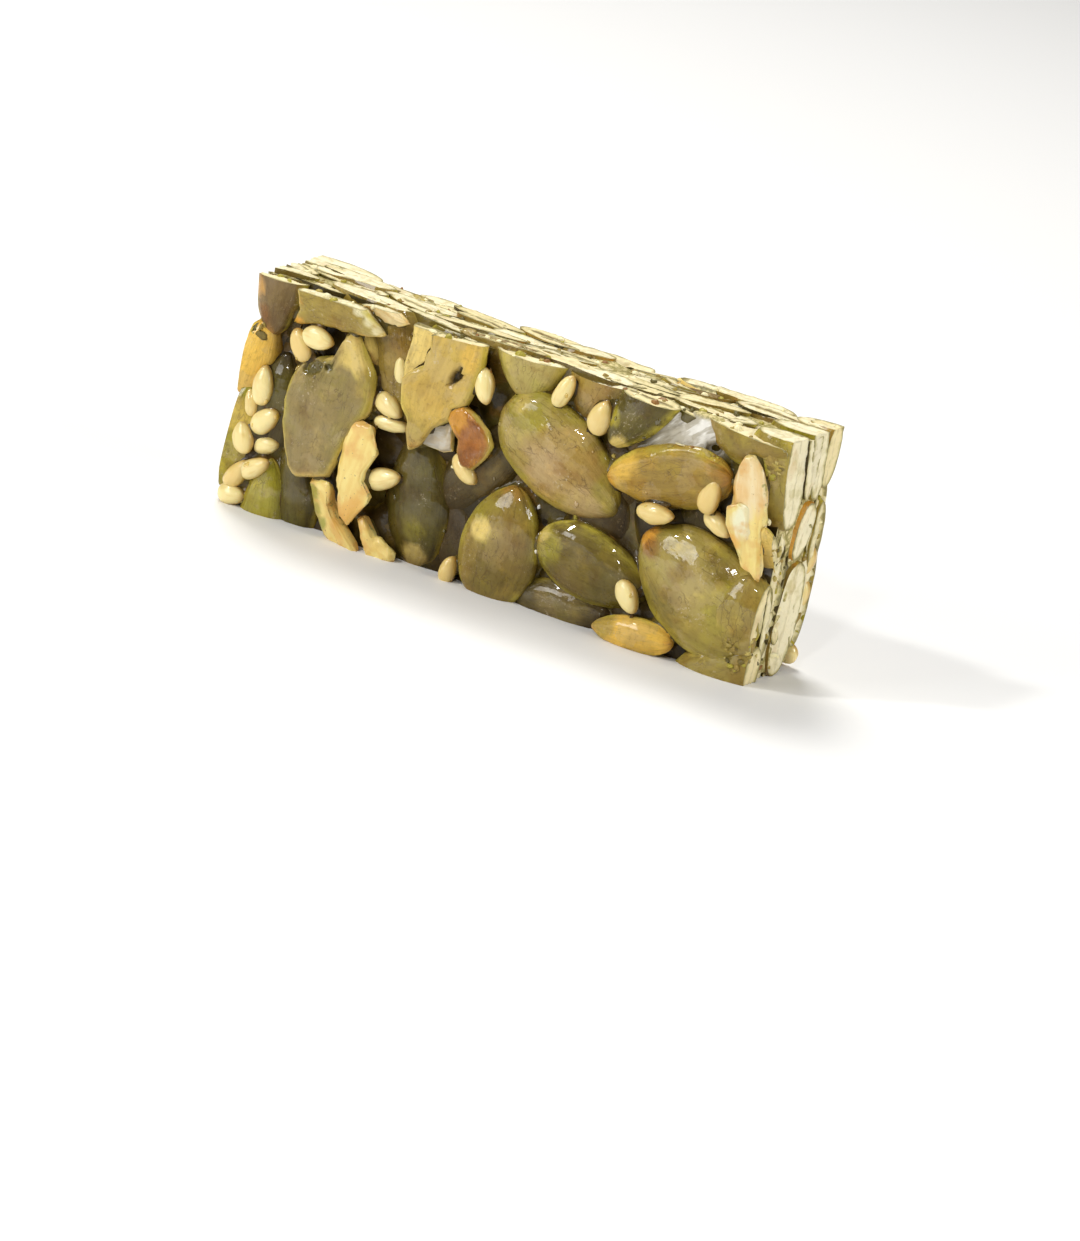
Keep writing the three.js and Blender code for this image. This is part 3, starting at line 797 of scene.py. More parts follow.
def endSections(whole, firstNumber):
    for i, (x, y, z, length, width, thickness, turn, lean, pitch, tone) in enumerate(endKernels):
        place = {"x": x, "y": y, "z": z, "turn": turn, "lean": lean, "pitch": pitch, "far": False}
        form = kernelForm
        size = (length, width, thickness)
        makeKernel(whole, size, place, form["ends"], form["nearDetail"], firstNumber + i, tone, wholeSurface)


# Inner layers: rows laid end to end, where they show between kernels or in a cut

innerRows = [0.8, 7.8, 14.8, bar["height"] - 0.8]
innerStray = {"start": 5, "y": 0.25, "z": 1.3, "lean": 9, "pitch": 6, "overlap": 0.05}
thinForm = {
    "share": (0.75, 0.85, 0.6),  # of a usual kernel's length, width and thickness
    "depths": (-2.5, -1.0, 1.0, 2.5),  # y
    "rows": (0.4, bar["height"] - 0.4),
    "start": 3,
    "stop": 2,  # mm before the right end
    "step": (4.5, 8.0),
    "turn": (-35, 35),
    "endRows": (6, 12, 18),
    "endStart": 2,
    "endTurn": (55, 125),
}


def halfReach(turn):
    along = kernelSize["length"] * math.cos(math.radians(turn))
    across = kernelSize["width"] * math.sin(math.radians(turn))
    return math.hypot(along, across) / 2


def innerKernel(whole, number, x, y, z, turn, share=(1, 1, 1)):
    length, width, thickness = kernelSize["spread"]
    size = (
        share[0] * kernelSize["length"] * draw(number, "length", 1 - length, 1 + length),
        share[1] * kernelSize["width"] * draw(number, "width", 1 - width, 1 + width),
        share[2] * kernelSize["thickness"] * draw(number, "thickness", 1 - thickness, 1 + thickness),
    )
    place = {
        "x": x,
        "y": y + draw(number, "innerY", -innerStray["y"], innerStray["y"]),
        "z": z + draw(number, "innerZ", -innerStray["z"], innerStray["z"]),
        "turn": turn,
        "lean": draw(number, "lean", -innerStray["lean"], innerStray["lean"]),
        "pitch": draw(number, "pitch", -innerStray["pitch"], innerStray["pitch"]),
        "far": False,
    }
    form = kernelForm
    tone = innerShadedTones[int(draw(number, "innerTone", 0, len(innerShadedTones)))]
    makeKernel(whole, size, place, form["ends"], form["innerDetail"], number, tone, innerSurface)


def innerLayers(whole, number):
    pitch = (bar["thickness"] - kernelSize["thickness"]) / (bar["layers"] - 1)
    middleLayer = (bar["layers"] - 1) / 2
    for layer in range(1, bar["layers"] - 1):
        y = -bar["thickness"] / 2 + kernelSize["thickness"] / 2 + layer * pitch
        for z in innerRows:
            rowIsCut = z < kernelSize["width"] / 2 or z > bar["height"] - kernelSize["width"] / 2
            x = -bar["length"] / 2 - draw(number, "rowStart", 0, innerStray["start"])
            while x < bar["length"] / 2:
                turn = draw(number, "rowTurn", 0, 360)
                reach = halfReach(turn) * (1 - innerStray["overlap"])
                endIsCut = abs(x + reach) > (bar["length"] - kernelSize["length"]) / 2
                if rowIsCut or endIsCut or layer != middleLayer:
                    innerKernel(whole, number, x + reach, y, z, turn)
                x += 2 * reach
                number += 1


def fillBetween(whole, number):
    # Thinner kernels between the layers, where the long cuts and the left end show them.
    form = thinForm
    left = -bar["length"] / 2
    for y in form["depths"]:
        for z in form["rows"]:
            x = left + draw(number, "rowStart", 0, form["start"])
            while x < bar["length"] / 2 - form["stop"]:
                innerKernel(whole, number, x, y, z, draw(number, "rowTurn", *form["turn"]), form["share"])
                x += draw(number, "rowStep", *form["step"])
                number += 1
        for z in form["endRows"]:
            x = left + draw(number, "rowStart", 0, form["endStart"])
            innerKernel(whole, number, x, y, z, draw(number, "rowTurn", *form["endTurn"]), form["share"])
            number += 1


# Sesame on the rolled faces: x, z, depth of the crown, length, width, turn

rolledSesame = [
    (-22.2, 16.8, 0.0, 3.2, 2.1, 118),
    (-20.5, 17.9, -0.1, 3.3, 2.1, -4),
    (-25.7, 11.9, 0.4, 3.8, 2.1, 92),
    (-26.9, 9.9, 0.8, 2.9, 1.7, 104),
    (-24.8, 8.8, 0.3, 3.5, 2.1, 42),
    (-26.8, 6.6, 0.2, 3.2, 2.2, 108),
    (-24.6, 6.4, 0.9, 2.8, 1.8, 20),
    (-24.9, 4.2, 0.1, 3.5, 1.9, 36),
    (-26.9, 3.0, 0.3, 3.5, 1.8, 56),
    (-27.2, 0.9, 0.4, 2.8, 2.0, 4),
    (-12.4, 13.8, 0.7, 3.3, 2.0, -22),
    (-12.0, 12.1, 1.0, 3.5, 1.6, 2),
    (-12.0, 17.2, 1.1, 2.9, 1.6, 98),
    (-11.4, 7.2, 0.4, 3.7, 2.1, 24),
    (-3.5, 10.4, 0.8, 3.4, 2.0, -36),
    (-2.9, 18.6, 0.2, 3.4, 1.9, -64),
    (5.2, 20.5, 0.1, 3.3, 1.7, 70),
    (9.2, 19.3, 0.3, 3.5, 2.2, 74),
    (21.3, 15.7, -0.1, 3.5, 2.1, 76),
    (22.2, 13.2, 0.7, 3.2, 1.8, -24),
    (16.3, 12.5, 0.1, 4.0, 2.0, 8),
    (15.2, 4.4, 0.0, 3.2, 1.9, -50),
    (-3.3, 0.9, 0.6, 3.0, 1.7, 80),
]
sesameForm = {
    "depth": 1.55,
    "ends": (0.62, 0.44),
    "detail": (24, 16),
    "standsOut": 0.6,
    "lean": 10,
    "pitch": 8,
    "nearOnly": 3,  # how many of the last ones the far face goes without
}


def sesameFace(whole, firstNumber, far):
    rows = rolledSesame[:-sesameForm["nearOnly"]] if far else rolledSesame
    stray = farStray if far else {"x": 0, "z": 0}
    for i, (x, z, depth, length, width, turn) in enumerate(rows):
        number = firstNumber + i
        size = (length, width, sesameForm["depth"])
        bm = growSeed(size, sesameForm["ends"], sesameForm["detail"], number, "cream", sesameSurface)
        y = -bar["thickness"] / 2 + depth + sesameForm["depth"] / 2
        x += draw(number, "strayX", -stray["x"], stray["x"])
        z += draw(number, "strayZ", -stray["z"], stray["z"])
        lean = draw(number, "sesameLean", -sesameForm["lean"], sesameForm["lean"])
        pitch = draw(number, "sesamePitch", -sesameForm["pitch"], sesameForm["pitch"])
        layIn(bm, x, y, z, turn, lean, pitch, far)
        holdIn(bm)
        clipToBar(bm, sesameForm["standsOut"])
        addInto(whole, bm)


# Set syrup: what a film over all the seeds leaves in the gaps

syrupForm = {
    "underNear": 2.5,
    "underFar": 2.5,
    "underCut": 0.22,
    "film": 0.3,  # voxel of the film, mm
    "smoothing": 9,
    "waves": ((0.6, 0.16), (2.0, 0.05)),
    "filmThickness": 1.5,
    "filmDetail": (28, 18),
    "sink": 0.24,  # how far seeds stand out of it
    "cutBack": 0.12,  # how far the knife pulled it in from the cuts
    "films": [  # x, z, depth, length, width, turn, lean: skins of syrup that bridge between kernels
        (17.6, 20.2, 0.9, 8.5, 4.2, 38, -16),
        (-20.4, 15.6, 0.5, 4.6, 1.6, -25, 20),
    ],
}


def syrupCore(bm):
    size = (
        bar["length"] - 2 * syrupForm["underCut"],
        bar["thickness"] - syrupForm["underNear"] - syrupForm["underFar"],
        bar["height"] - 2 * syrupForm["underCut"],
    )
    block = bmesh.ops.create_cube(bm, size=1)["verts"]
    bmesh.ops.scale(bm, vec=size, verts=block)
    middle = (0, (syrupForm["underNear"] - syrupForm["underFar"]) / 2, bar["height"] / 2)
    bmesh.ops.translate(bm, vec=middle, verts=block)


def pourSyrup(kinds, material):
    bm = bmesh.new()
    for kind in kinds:
        bm.from_mesh(kind.data)
    bmesh.ops.scale(bm, vec=(1 / mm,) * 3, verts=bm.verts)
    syrupCore(bm)
    for i, (x, z, depth, length, width, turn, lean) in enumerate(syrupForm["films"]):
        size = (length, width, syrupForm["filmThickness"])
        number = firstNumbers["films"] + i
        film = growSeed(size, kernelForm["ends"], syrupForm["filmDetail"], number, "grey", gapSurface)
        layIn(film, x, -bar["thickness"] / 2 + depth + size[2] / 2, z, turn, lean, 0, False)
        clipToBar(film)
        addInto(bm, film)
    mesh = bpy.data.meshes.new("film")
    bm.to_mesh(mesh)
    bm.free()
    film = bpy.data.objects.new("film", mesh)
    bpy.context.scene.collection.objects.link(film)
    remesh = film.modifiers.new("film", "REMESH")
    remesh.mode = "VOXEL"
    remesh.voxel_size = syrupForm["film"]
    smooth = film.modifiers.new("smooth", "SMOOTH")
    smooth.factor = 0.5
    smooth.iterations = syrupForm["smoothing"]
    shown = film.evaluated_get(bpy.context.evaluated_depsgraph_get())
    bm = bmesh.new()
    bm.from_mesh(shown.to_mesh())
    shown.to_mesh_clear()
    bpy.data.objects.remove(film)
    bm.normal_update()
    for v in bm.verts:
        v.co += v.normal * (wavy(v.co, syrupForm["waves"]) - syrupForm["sink"])
    back = syrupForm["cutBack"]
    for side in cutSides:
        at = Vector((side.x * (bar["length"] / 2 - back), 0, back if side.z < 0 else bar["height"] - back))
        sliceOff(bm, at, side)
    for f in bm.faces:
        f.smooth = True
        f.material_index = 0
    return finishKind("set_syrup", bm, [material])


# Crumbs and shreds of skin that the knife left

wellOut = 40  # mm from the bar's middle, where the rays that place bits of crumb and syrup start
crumbForm = {
    "size": (0.16, 0.46),
    "width": (0.55, 1),  # beside the length
    "height": (0.4, 0.9),
    "waves": (1.1, 0.55),  # how many to a radius, and how high
    "tilt": 0.5,
    "shreds": 0.2,  # share that are thin shreds
    "shred": (2.2, 1.3, 0.22),
    "reach": 0.95,  # how near to the edges of a side they lie
    "least": {"face": 1.7, "cut": 0.25},  # how far under a side they lie, no less and no more
    "most": 4,
    "bottom": 0.6,
    "facing": {"sets": 0.6, "heaps": 0.3},  # how squarely what they lie on faces the side
    "tones": ["leaf", "olive", "russet", "green", "flesh", "flesh", "flesh", "dark"],
    "heapTones": ["green", "olive", "sage", "moss", "leaf", "olive", "dark", "sage"],
    "heapShare": 0.85,  # how big they are beside the others
    "sets": [  # how many, the side they lie on, and a first number
        (330, (0, 0, 1), 1000),
        (110, (1, 0, 0), 1400),
        (80, (-1, 0, 0), 1550),
        (50, (0, -1, 0), 1650),
        (40, (0, 1, 0), 1700),
    ],
    "heaps": [  # how many, the side, x, y, z, radius, and a first number
        (26, (0, -1, 0), 27.0, 0, 2.6, 1.5, 2400),
        (14, (0, -1, 0), 26.6, 0, 19.8, 0.9, 2430),
        (16, (1, 0, 0), 0, -4.4, 3.4, 1.6, 2450),
        (14, (1, 0, 0), 0, -3.0, 11.0, 1.6, 2470),
        (8, (0, -1, 0), -26.9, 0, 17.2, 0.9, 2490),
    ],
}


def smallSize(number, quality, sizes):  # small ones are more common
    smallest, largest = sizes
    return smallest + (largest - smallest) * draw(number, quality, 0, 1) ** 2


def makeBit(shape, tone, offset, waves, lie):
    # A small uneven bit of one tone, stretched to its shape and laid in its place.
    bm = startMesh()
    bmesh.ops.create_icosphere(bm, subdivisions=2, radius=1)
    toneLayer = bm.verts.layers.float_color["seedTone"]
    rate, height = waves
    for v in bm.verts:
        v[toneLayer] = tone
        v.co *= 1 + height * noise.noise(v.co * rate + offset)
        v.co = Vector((v.co.x * shape.x, v.co.y * shape.y, v.co.z * shape.z))
    bmesh.ops.transform(bm, matrix=lie, verts=bm.verts)
    for f in bm.faces:
        f.smooth = True
    return bm


def liesOn(at, outward):
    return Matrix.Translation(at) @ outward.to_track_quat("Z", "X").to_matrix().to_4x4()


def crumb(number, at, outward, tonesHere, share=1.0):
    form = crumbForm
    size = smallSize(number, "crumbSize", form["size"]) * share
    width = draw(number, "crumbWidth", *form["width"])
    shape = Vector((1, width, draw(number, "crumbHeight", *form["height"])))
    if draw(number, "shred", 0, 1) < form["shreds"]:
        shape = Vector(form["shred"])
    tone = tones[tonesHere[int(draw(number, "crumbTone", 0, len(tonesHere)))]]
    turn = Matrix.Rotation(draw(number, "crumbTurn", 0, 2 * math.pi), 4, "Z")
    turn = turn @ Matrix.Rotation(draw(number, "crumbTilt", -form["tilt"], form["tilt"]), 4, "X")
    offset = Vector((number * 1.3, number * 0.7, 0))
    return makeBit(shape * size, tone, offset, form["waves"], liesOn(at, outward) @ turn)


def surfaceOf(pieces):
    surface = bmesh.new()
    for piece in pieces:
        surface.from_mesh(piece.data)
    bmesh.ops.scale(surface, vec=(1 / mm,) * 3, verts=surface.verts)
    surface.faces.ensure_lookup_table()
    return surface, BVHTree.FromBMesh(surface)


def scatterDrops(surface, tree, material):
    # Beads of syrup on the rolled faces, as dark or pale as the kernel that they sit on.
    form = {
        "count": 70,  # on each face
        "size": (0.14, 0.38),
        "shape": (1, 0.75, 0.45),
        "waves": (0.9, 0.3),
        "reachX": (-0.93, 0.93),  # shares of the half length and the height
        "reachZ": (0.06, 0.95),
        "flattest": 0.97,  # none sit where a seed faces straight out
    }
    whole = startMesh()
    toneLayer = surface.verts.layers.float_color["seedTone"]
    for number in range(firstNumbers["drops"], firstNumbers["drops"] + 2 * form["count"]):
        toward = 1 if number % 2 else -1
        x = draw(number, "dropX", *form["reachX"]) * bar["length"] / 2
        z = draw(number, "dropZ", *form["reachZ"]) * bar["height"]
        at, normal, face, _ = tree.ray_cast(Vector((x, -wellOut * toward, z)), Vector((0, toward, 0)))
        if not at or abs(normal.y) > form["flattest"]:
            continue
        shape = Vector(form["shape"]) * smallSize(number, "dropSize", form["size"])
        tone = surface.faces[face].verts[0][toneLayer]
        bm = makeBit(shape, tone, Vector((number * 1.1, 0, 0)), form["waves"], liesOn(at, normal))
        holdIn(bm)
        clipToBar(bm)
        addInto(whole, bm)
    return finishKind("syrup_drops", whole, [material, material])  # the second is for faces at a cut


def scatterCrumbs(tree, material):
    form = crumbForm
    whole = startMesh()
    half = Vector((bar["length"] / 2, bar["thickness"] / 2, bar["height"] / 2))
    centre = Vector((0, 0, half.z))
    for count, side, firstNumber in form["sets"]:
        outward = Vector(side)
        least = form["least"]["face" if side[1] else "cut"]
        for number in range(firstNumber, firstNumber + count):
            reach = form["reach"]
            spread = Vector(draw(number, "scatter", -reach, reach, i) * half[i] for i in range(3))
            start = spread - outward * spread.dot(outward) + outward * wellOut + centre
            at, normal, _, _ = tree.ray_cast(start, -outward)
            if not at:
                continue
            under = half.dot(Vector(abs(c) for c in side)) - (at - centre).dot(outward)
            if under < least or under > form["most"] or at.z < form["bottom"]:
                continue
            if normal.dot(outward) < form["facing"]["sets"]:
                continue
            bm = crumb(number, at, normal, form["tones"])
            clipToBar(bm)
            addInto(whole, bm)
    for count, side, x, y, z, radius, firstNumber in form["heaps"]:
        outward = Vector(side)
        for number in range(firstNumber, firstNumber + count):
            spread = Vector(draw(number, "scatter", -radius, radius, i) for i in range(3))
            start = Vector((x, y, z)) + spread - outward * spread.dot(outward) + outward * wellOut
            at, normal, _, _ = tree.ray_cast(start, -outward)
            if not at or normal.dot(outward) < form["facing"]["heaps"]:
                continue
            bm = crumb(number, at, normal, form["heapTones"], form["heapShare"])
            holdIn(bm)
            clipToBar(bm)
            addInto(whole, bm)
    return finishKind("crumbs", whole, [material, material])


# Nodes, each made with what it reads


def newMaterial(name):
    print(f"material: {name}")
    material = bpy.data.materials.new(name)
    material.use_nodes = True
    tree = material.node_tree
    tree.nodes.clear()
    shader = tree.nodes.new("ShaderNodeBsdfPrincipled")
    output = tree.nodes.new("ShaderNodeOutputMaterial")
    tree.links.new(shader.outputs[0], output.inputs["Surface"])
    return material, tree, shader


def put(tree, socket, value):
    if isinstance(value, bpy.types.NodeSocket):
        tree.links.new(value, socket)
    else:
        socket.default_value = value


def reading(tree, name, output):
    node = tree.nodes.new("ShaderNodeAttribute")
    node.attribute_name = name
    return node.outputs[output]


def inMillimetres(tree):
    place = tree.nodes.new("ShaderNodeTexCoord")
    scale = tree.nodes.new("ShaderNodeVectorMath")
    scale.operation = "SCALE"
    scale.inputs["Scale"].default_value = 1 / mm
    tree.links.new(place.outputs["Object"], scale.inputs[0])
    return scale.outputs[0]


def stretched(tree, vector, factors):
    node = tree.nodes.new("ShaderNodeVectorMath")
    node.operation = "MULTIPLY"
    put(tree, node.inputs[0], vector)
    node.inputs[1].default_value = factors
    return node.outputs[0]


def shifted(tree, vector, amount, by):
    # Each seed reads its own stretch of a pattern.
    far = tree.nodes.new("ShaderNodeMath")
    far.operation = "MULTIPLY"
    put(tree, far.inputs[0], amount)
    far.inputs[1].default_value = by
    node = tree.nodes.new("ShaderNodeVectorMath")
    node.operation = "ADD"
    put(tree, node.inputs[0], vector)
    put(tree, node.inputs[1], far.outputs[0])
    return node.outputs[0]


def grain(tree, vector, rate, detail=2.0, rough=0.5):
    node = tree.nodes.new("ShaderNodeTexNoise")
    put(tree, node.inputs["Vector"], vector)
    node.inputs["Scale"].default_value = rate
    node.inputs["Detail"].default_value = detail
    node.inputs["Roughness"].default_value = rough
    return node.outputs["Fac"]


def stepped(tree, value, low, high, toLow=0.0, toHigh=1.0):
    node = tree.nodes.new("ShaderNodeMapRange")
    node.interpolation_type = "SMOOTHSTEP"
    put(tree, node.inputs["Value"], value)
    node.inputs["From Min"].default_value = low
    node.inputs["From Max"].default_value = high
    node.inputs["To Min"].default_value = toLow
    node.inputs["To Max"].default_value = toHigh
    return node.outputs["Result"]


def reckon(tree, operation, first, second=0.0):
    node = tree.nodes.new("ShaderNodeMath")
    node.operation = operation
    put(tree, node.inputs[0], first)
    put(tree, node.inputs[1], second)
    return node.outputs[0]


def times(tree, first, second):
    return reckon(tree, "MULTIPLY", first, second)


def plus(tree, first, second):
    return reckon(tree, "ADD", first, second)


def minus(tree, first, second):
    return reckon(tree, "SUBTRACT", first, second)


def least(tree, first, second):
    return reckon(tree, "MINIMUM", first, second)


def sizeOf(tree, value):
    return reckon(tree, "ABSOLUTE", value)


def separated(tree, vector):
    node = tree.nodes.new("ShaderNodeSeparateXYZ")
    put(tree, node.inputs[0], vector)
    return node.outputs


def blended(tree, share, first, second, way="MIX"):
    node = tree.nodes.new("ShaderNodeMix")
    node.data_type = "RGBA"
    node.blend_type = way
    put(tree, node.inputs["Factor"], share)
    put(tree, node.inputs["A"], first)
    put(tree, node.inputs["B"], second)
    return node.outputs["Result"]


def tinted(tree, colour, factors):
    return blended(tree, 1.0, colour, factors, "MULTIPLY")


def bumped(tree, height, distance, strength=1.0, under=None):
    node = tree.nodes.new("ShaderNodeBump")
    node.inputs["Distance"].default_value = distance * mm
    node.inputs["Strength"].default_value = strength
    put(tree, node.inputs["Height"], height)
    if under:
        put(tree, node.inputs["Normal"], under)
    return node.outputs["Normal"]


def softened(shader, weight, depths):  # light goes in by so many mm
    shader.inputs["Subsurface Weight"].default_value = weight
    shader.inputs["Subsurface Radius"].default_value = [depth * mm for depth in depths]
    shader.inputs["Subsurface Scale"].default_value = 1.0


def glazed(shader, weight, roughness):
    shader.inputs["Coat Weight"].default_value = weight
    shader.inputs["Coat Roughness"].default_value = roughness


# Materials: patterns are how many to a mm or to a seed, then detail and roughness; steps are where a pattern
# starts and where it is full, and the share at each; reliefs are how deep in mm, and how strong.

apart = 40  # each seed reads its patterns this far from the next one's


def readLook(tree, look):  # a look's patterns, steps and reliefs by their names
    def pattern(name, vector):
        return grain(tree, vector, *look["patterns"][name])

    def share(name, value):
        return stepped(tree, value, *look["steps"][name])

    def relief(name, height, under=None):
        return bumped(tree, height, *look["reliefs"][name], under)

    return pattern, share, relief


def cutGaps(tree, space):  # mm in from the nearer end, and down from the top cut
    place = separated(tree, space)
    endGap = minus(tree, bar["length"] / 2, sizeOf(tree, place["X"]))
    return place, endGap, minus(tree, bar["height"], place["Z"])


def redOf(tree, tone):  # how bright a tone is
    bright = tree.nodes.new("ShaderNodeSeparateColor")
    put(tree, bright.inputs[0], tone)
    return bright.outputs[0]


def skinMaterial():
    look = {
        "leafy": (1.12, 1.22, 0.75, 1),  # down to the painted shade, these multiply what is under them
        "brown": (0.62, 0.42, 0.26, 1),
        "streak": (0.45, 0.42, 0.33, 1),
        "pale": (1.75, 1.70, 1.45, 1),
        "blotch": (0.46, 0.36, 0.26, 1),
        "speck": (0.5, 0.45, 0.35, 1),
        "syrupAndPaintedShade": (0.30, 0.22, 0.12, 1),  # painted shade between the kernels, and the dark syrup that lies there
        "film": (0.50, 0.375, 0.175, 1),  # painted sheen on the syrup film over the skin: crisp-edged paler patches
        "rim": (0.52, 0.43, 0.055, 1),
        "toast": (0.60, 0.27, 0.030, 1),
        "scorch": (0.22, 0.08, 0.020, 1),
        "vein": (0.10, 0.055, 0.015, 1),
        "frost": (0.56, 0.46, 0.29, 1),  # dried syrup
        "specular": 0.14,
        "coatRoughness": 0.035,
        "coatIor": 1.5,
        "veinScale": 1.5,
        "veinBend": 1.1,
        "toastAtEnds": 0.45,
        "toastInPatches": 0.9,
        "toastAtLeast": 0.45,
        "toastMost": 0.8,
        "paleApart": 90,
        "paintedSheenApart": 21,
        "frostApart": 33,
        "patterns": {
            "hues": (0.28, 3.0, 0.6), "streaks": (1.0, 3.0, 0.6), "pale": (0.42, 4.0, 0.6),
            "mottles": (0.62, 5.0, 0.65), "torn": (0.26, 6.0, 0.55), "rim": (1.2, 3.0),
            "toast": (1.4, 3.0, 0.6), "scorch": (3.1, 3.0), "bends": (0.8, 3.0), "veinGaps": (0.45, 2.0),
            "specks": (2.6, 3.0, 0.7), "frostAreas": (0.3, 2.0), "frost": (3.4, 4.0, 0.75),
            "dull": (0.8, 3.0), "wrinkles": (1.0, 4.0, 0.65), "lumps": (0.5, 1.0, 0.5),
            "ripples": (1.5, 1.0, 0.5), "syrupy": (0.55, 3.0),
        },
        "steps": {
            "plain": (0.40, 0.62, 1.0, 0.25), "leafy": (0.50, 0.66, 0.0, 0.55),
            "brown": (0.48, 0.34, 0.0, 0.45), "streaks": (0.42, 0.66, 0.0, 0.28),
            "pale": (0.52, 0.70, 0.0, 0.45), "mottles": (0.50, 0.68, 0.0, 0.16), "torn": (0.555, 0.585),
            "paintedSheenByTone": (0.08, 0.34, 0.03, 0.24), "edge": (0.75, 0.1), "rim": (0.40, 0.58, 0.1, 0.9),
            "ends": (0.5, 1.0), "toast": (0.47, 0.75), "scorch": (0.5, 0.68, 0.0, 0.7),
            "veins": (0.035, 0.0, 0.0, 0.55), "veinGaps": (0.45, 0.6), "specks": (0.5, 0.72, 0.0, 0.45),
            "frostAreas": (0.52, 0.66), "frost": (0.56, 0.68, 0.0, 0.6), "deep": (1.2, 2.5),
            "fromCut": (0.4, 1.8, 0.0, 0.85), "dull": (0.35, 0.65, 0.26, 0.46),
            "upward": (-0.1, 0.2, 0.4, 1.0), "lessCoatInPaintedShade": (0.0, 1.0, 1.0, 0.3),
            "syrupy": (0.38, 0.55, 0.55, 1.0),
        },
        "reliefs": {
            "wrinkles": (0.07, 0.8), "veins": (0.05, 0.8), "specks": (0.03, 0.8), "lumps": (0.12, 0.9),
            "ripples": (0.035, 0.9), "coatWrinkles": (0.006, 0.9),
        },
    }
    material, tree, shader = newMaterial("kernel_skin")
    pattern, share, relief = readLook(tree, look)
    place = reading(tree, "seedPlace", "Vector")
    tone = reading(tree, "seedTone", "Color")
    toastiness = reading(tree, "seedTone", "Alpha")
    chance = reading(tree, "seedChance", "Fac")
    own = shifted(tree, place, chance, apart)
    space = inMillimetres(tree)
    onSeed = separated(tree, place)
    red = redOf(tree, tone)

    plain = share("plain", red)  # pale skins are less mottled
    hues = pattern("hues", space)
    leafy = times(tree, share("leafy", hues), plain)
    browned = times(tree, share("brown", hues), plain)
    colour = blended(tree, leafy, tone, tinted(tree, tone, look["leafy"]))
    colour = blended(tree, browned, colour, tinted(tree, tone, look["brown"]))
    streaks = pattern("streaks", stretched(tree, own, (1.6, 5.0, 5.0)))
    colour = blended(tree, share("streaks", streaks), colour, look["streak"], "MULTIPLY")
    pale = pattern("pale", shifted(tree, space, chance, look["paleApart"]))
    lifted = tinted(tree, colour, look["pale"])
    colour = blended(tree, times(tree, share("pale", pale), plain), colour, lifted)
    mottles = times(tree, share("mottles", pattern("mottles", space)), plain)
    colour = blended(tree, mottles, colour, look["blotch"], "MULTIPLY")
    # painted sheen: crisp-edged paler patches in the film colour
    torn = share("torn", pattern("torn", shifted(tree, space, chance, look["paintedSheenApart"])))
    colour = blended(tree, times(tree, torn, share("paintedSheenByTone", red)), colour, look["film"])
    rimPattern = pattern("rim", stretched(tree, own, (2.0, 1.0, 1.0)))
    rim = times(tree, share("edge", sizeOf(tree, onSeed["Z"])), share("rim", rimPattern))
    colour = blended(tree, rim, colour, look["rim"])

    ends = times(tree, share("ends", sizeOf(tree, onSeed["X"])), look["toastAtEnds"])
    patches = times(tree, pattern("toast", own), look["toastInPatches"])
    ready = plus(tree, toastiness, look["toastAtLeast"])
    toast = share("toast", times(tree, plus(tree, ends, patches), ready))
    colour = blended(tree, times(tree, toast, look["toastMost"]), colour, look["toast"])
    scorch = times(tree, toast, share("scorch", pattern("scorch", own)))
    colour = blended(tree, scorch, colour, look["scorch"])
    veins = tree.nodes.new("ShaderNodeTexVoronoi")
    veins.feature = "DISTANCE_TO_EDGE"
    straight = stretched(tree, own, (1.2, 3.0, 3.0))
    put(tree, veins.inputs["Vector"], shifted(tree, straight, pattern("bends", space), look["veinBend"]))
    veins.inputs["Scale"].default_value = look["veinScale"]
    line = share("veins", veins.outputs["Distance"])
    line = times(tree, line, share("veinGaps", pattern("veinGaps", space)))
    line = times(tree, line, plain)
    colour = blended(tree, line, colour, look["vein"])
    specks = pattern("specks", space)
    colour = blended(tree, share("specks", specks), colour, look["speck"], "MULTIPLY")
    frostAreas = share("frostAreas", pattern("frostAreas", shifted(tree, space, chance, look["frostApart"])))
    frost = share("frost", pattern("frost", space))
    colour = blended(tree, times(tree, frostAreas, frost), colour, look["frost"])
    onBar, endGap, topGap = cutGaps(tree, space)
    # painted shade: skin deeper than the rolled faces and away from the cuts is darkened, partly for dark
    # syrup
    deep = share("deep", minus(tree, bar["thickness"] / 2, sizeOf(tree, onBar["Y"])))
    syrupAndPaintedShade = times(tree, deep, share("fromCut", least(tree, endGap, topGap)))
    put(tree, shader.inputs["Base Color"], blended(tree, syrupAndPaintedShade, colour, look["syrupAndPaintedShade"], "MULTIPLY"))

    put(tree, shader.inputs["Roughness"], share("dull", pattern("dull", space)))
    shader.inputs["Specular IOR Level"].default_value = look["specular"]
    wrinkles = pattern("wrinkles", stretched(tree, own, (2.6, 12.0, 12.0)))
    skin = relief("veins", minus(tree, 1.0, line), relief("wrinkles", wrinkles))
    put(tree, shader.inputs["Normal"], relief("specks", specks, skin))
    ripples = relief("ripples", pattern("ripples", space), relief("lumps", pattern("lumps", space)))
    put(tree, shader.inputs["Coat Normal"], relief("coatWrinkles", wrinkles, ripples))
    facing = separated(tree, tree.nodes.new("ShaderNodeNewGeometry").outputs["Normal"])
    wet = times(tree, share("upward", facing["Z"]), share("lessCoatInPaintedShade", syrupAndPaintedShade))
    put(tree, shader.inputs["Coat Weight"], times(tree, wet, share("syrupy", pattern("syrupy", space))))
    shader.inputs["Coat Roughness"].default_value = look["coatRoughness"]
    shader.inputs["Coat IOR"].default_value = look["coatIor"]
    return material


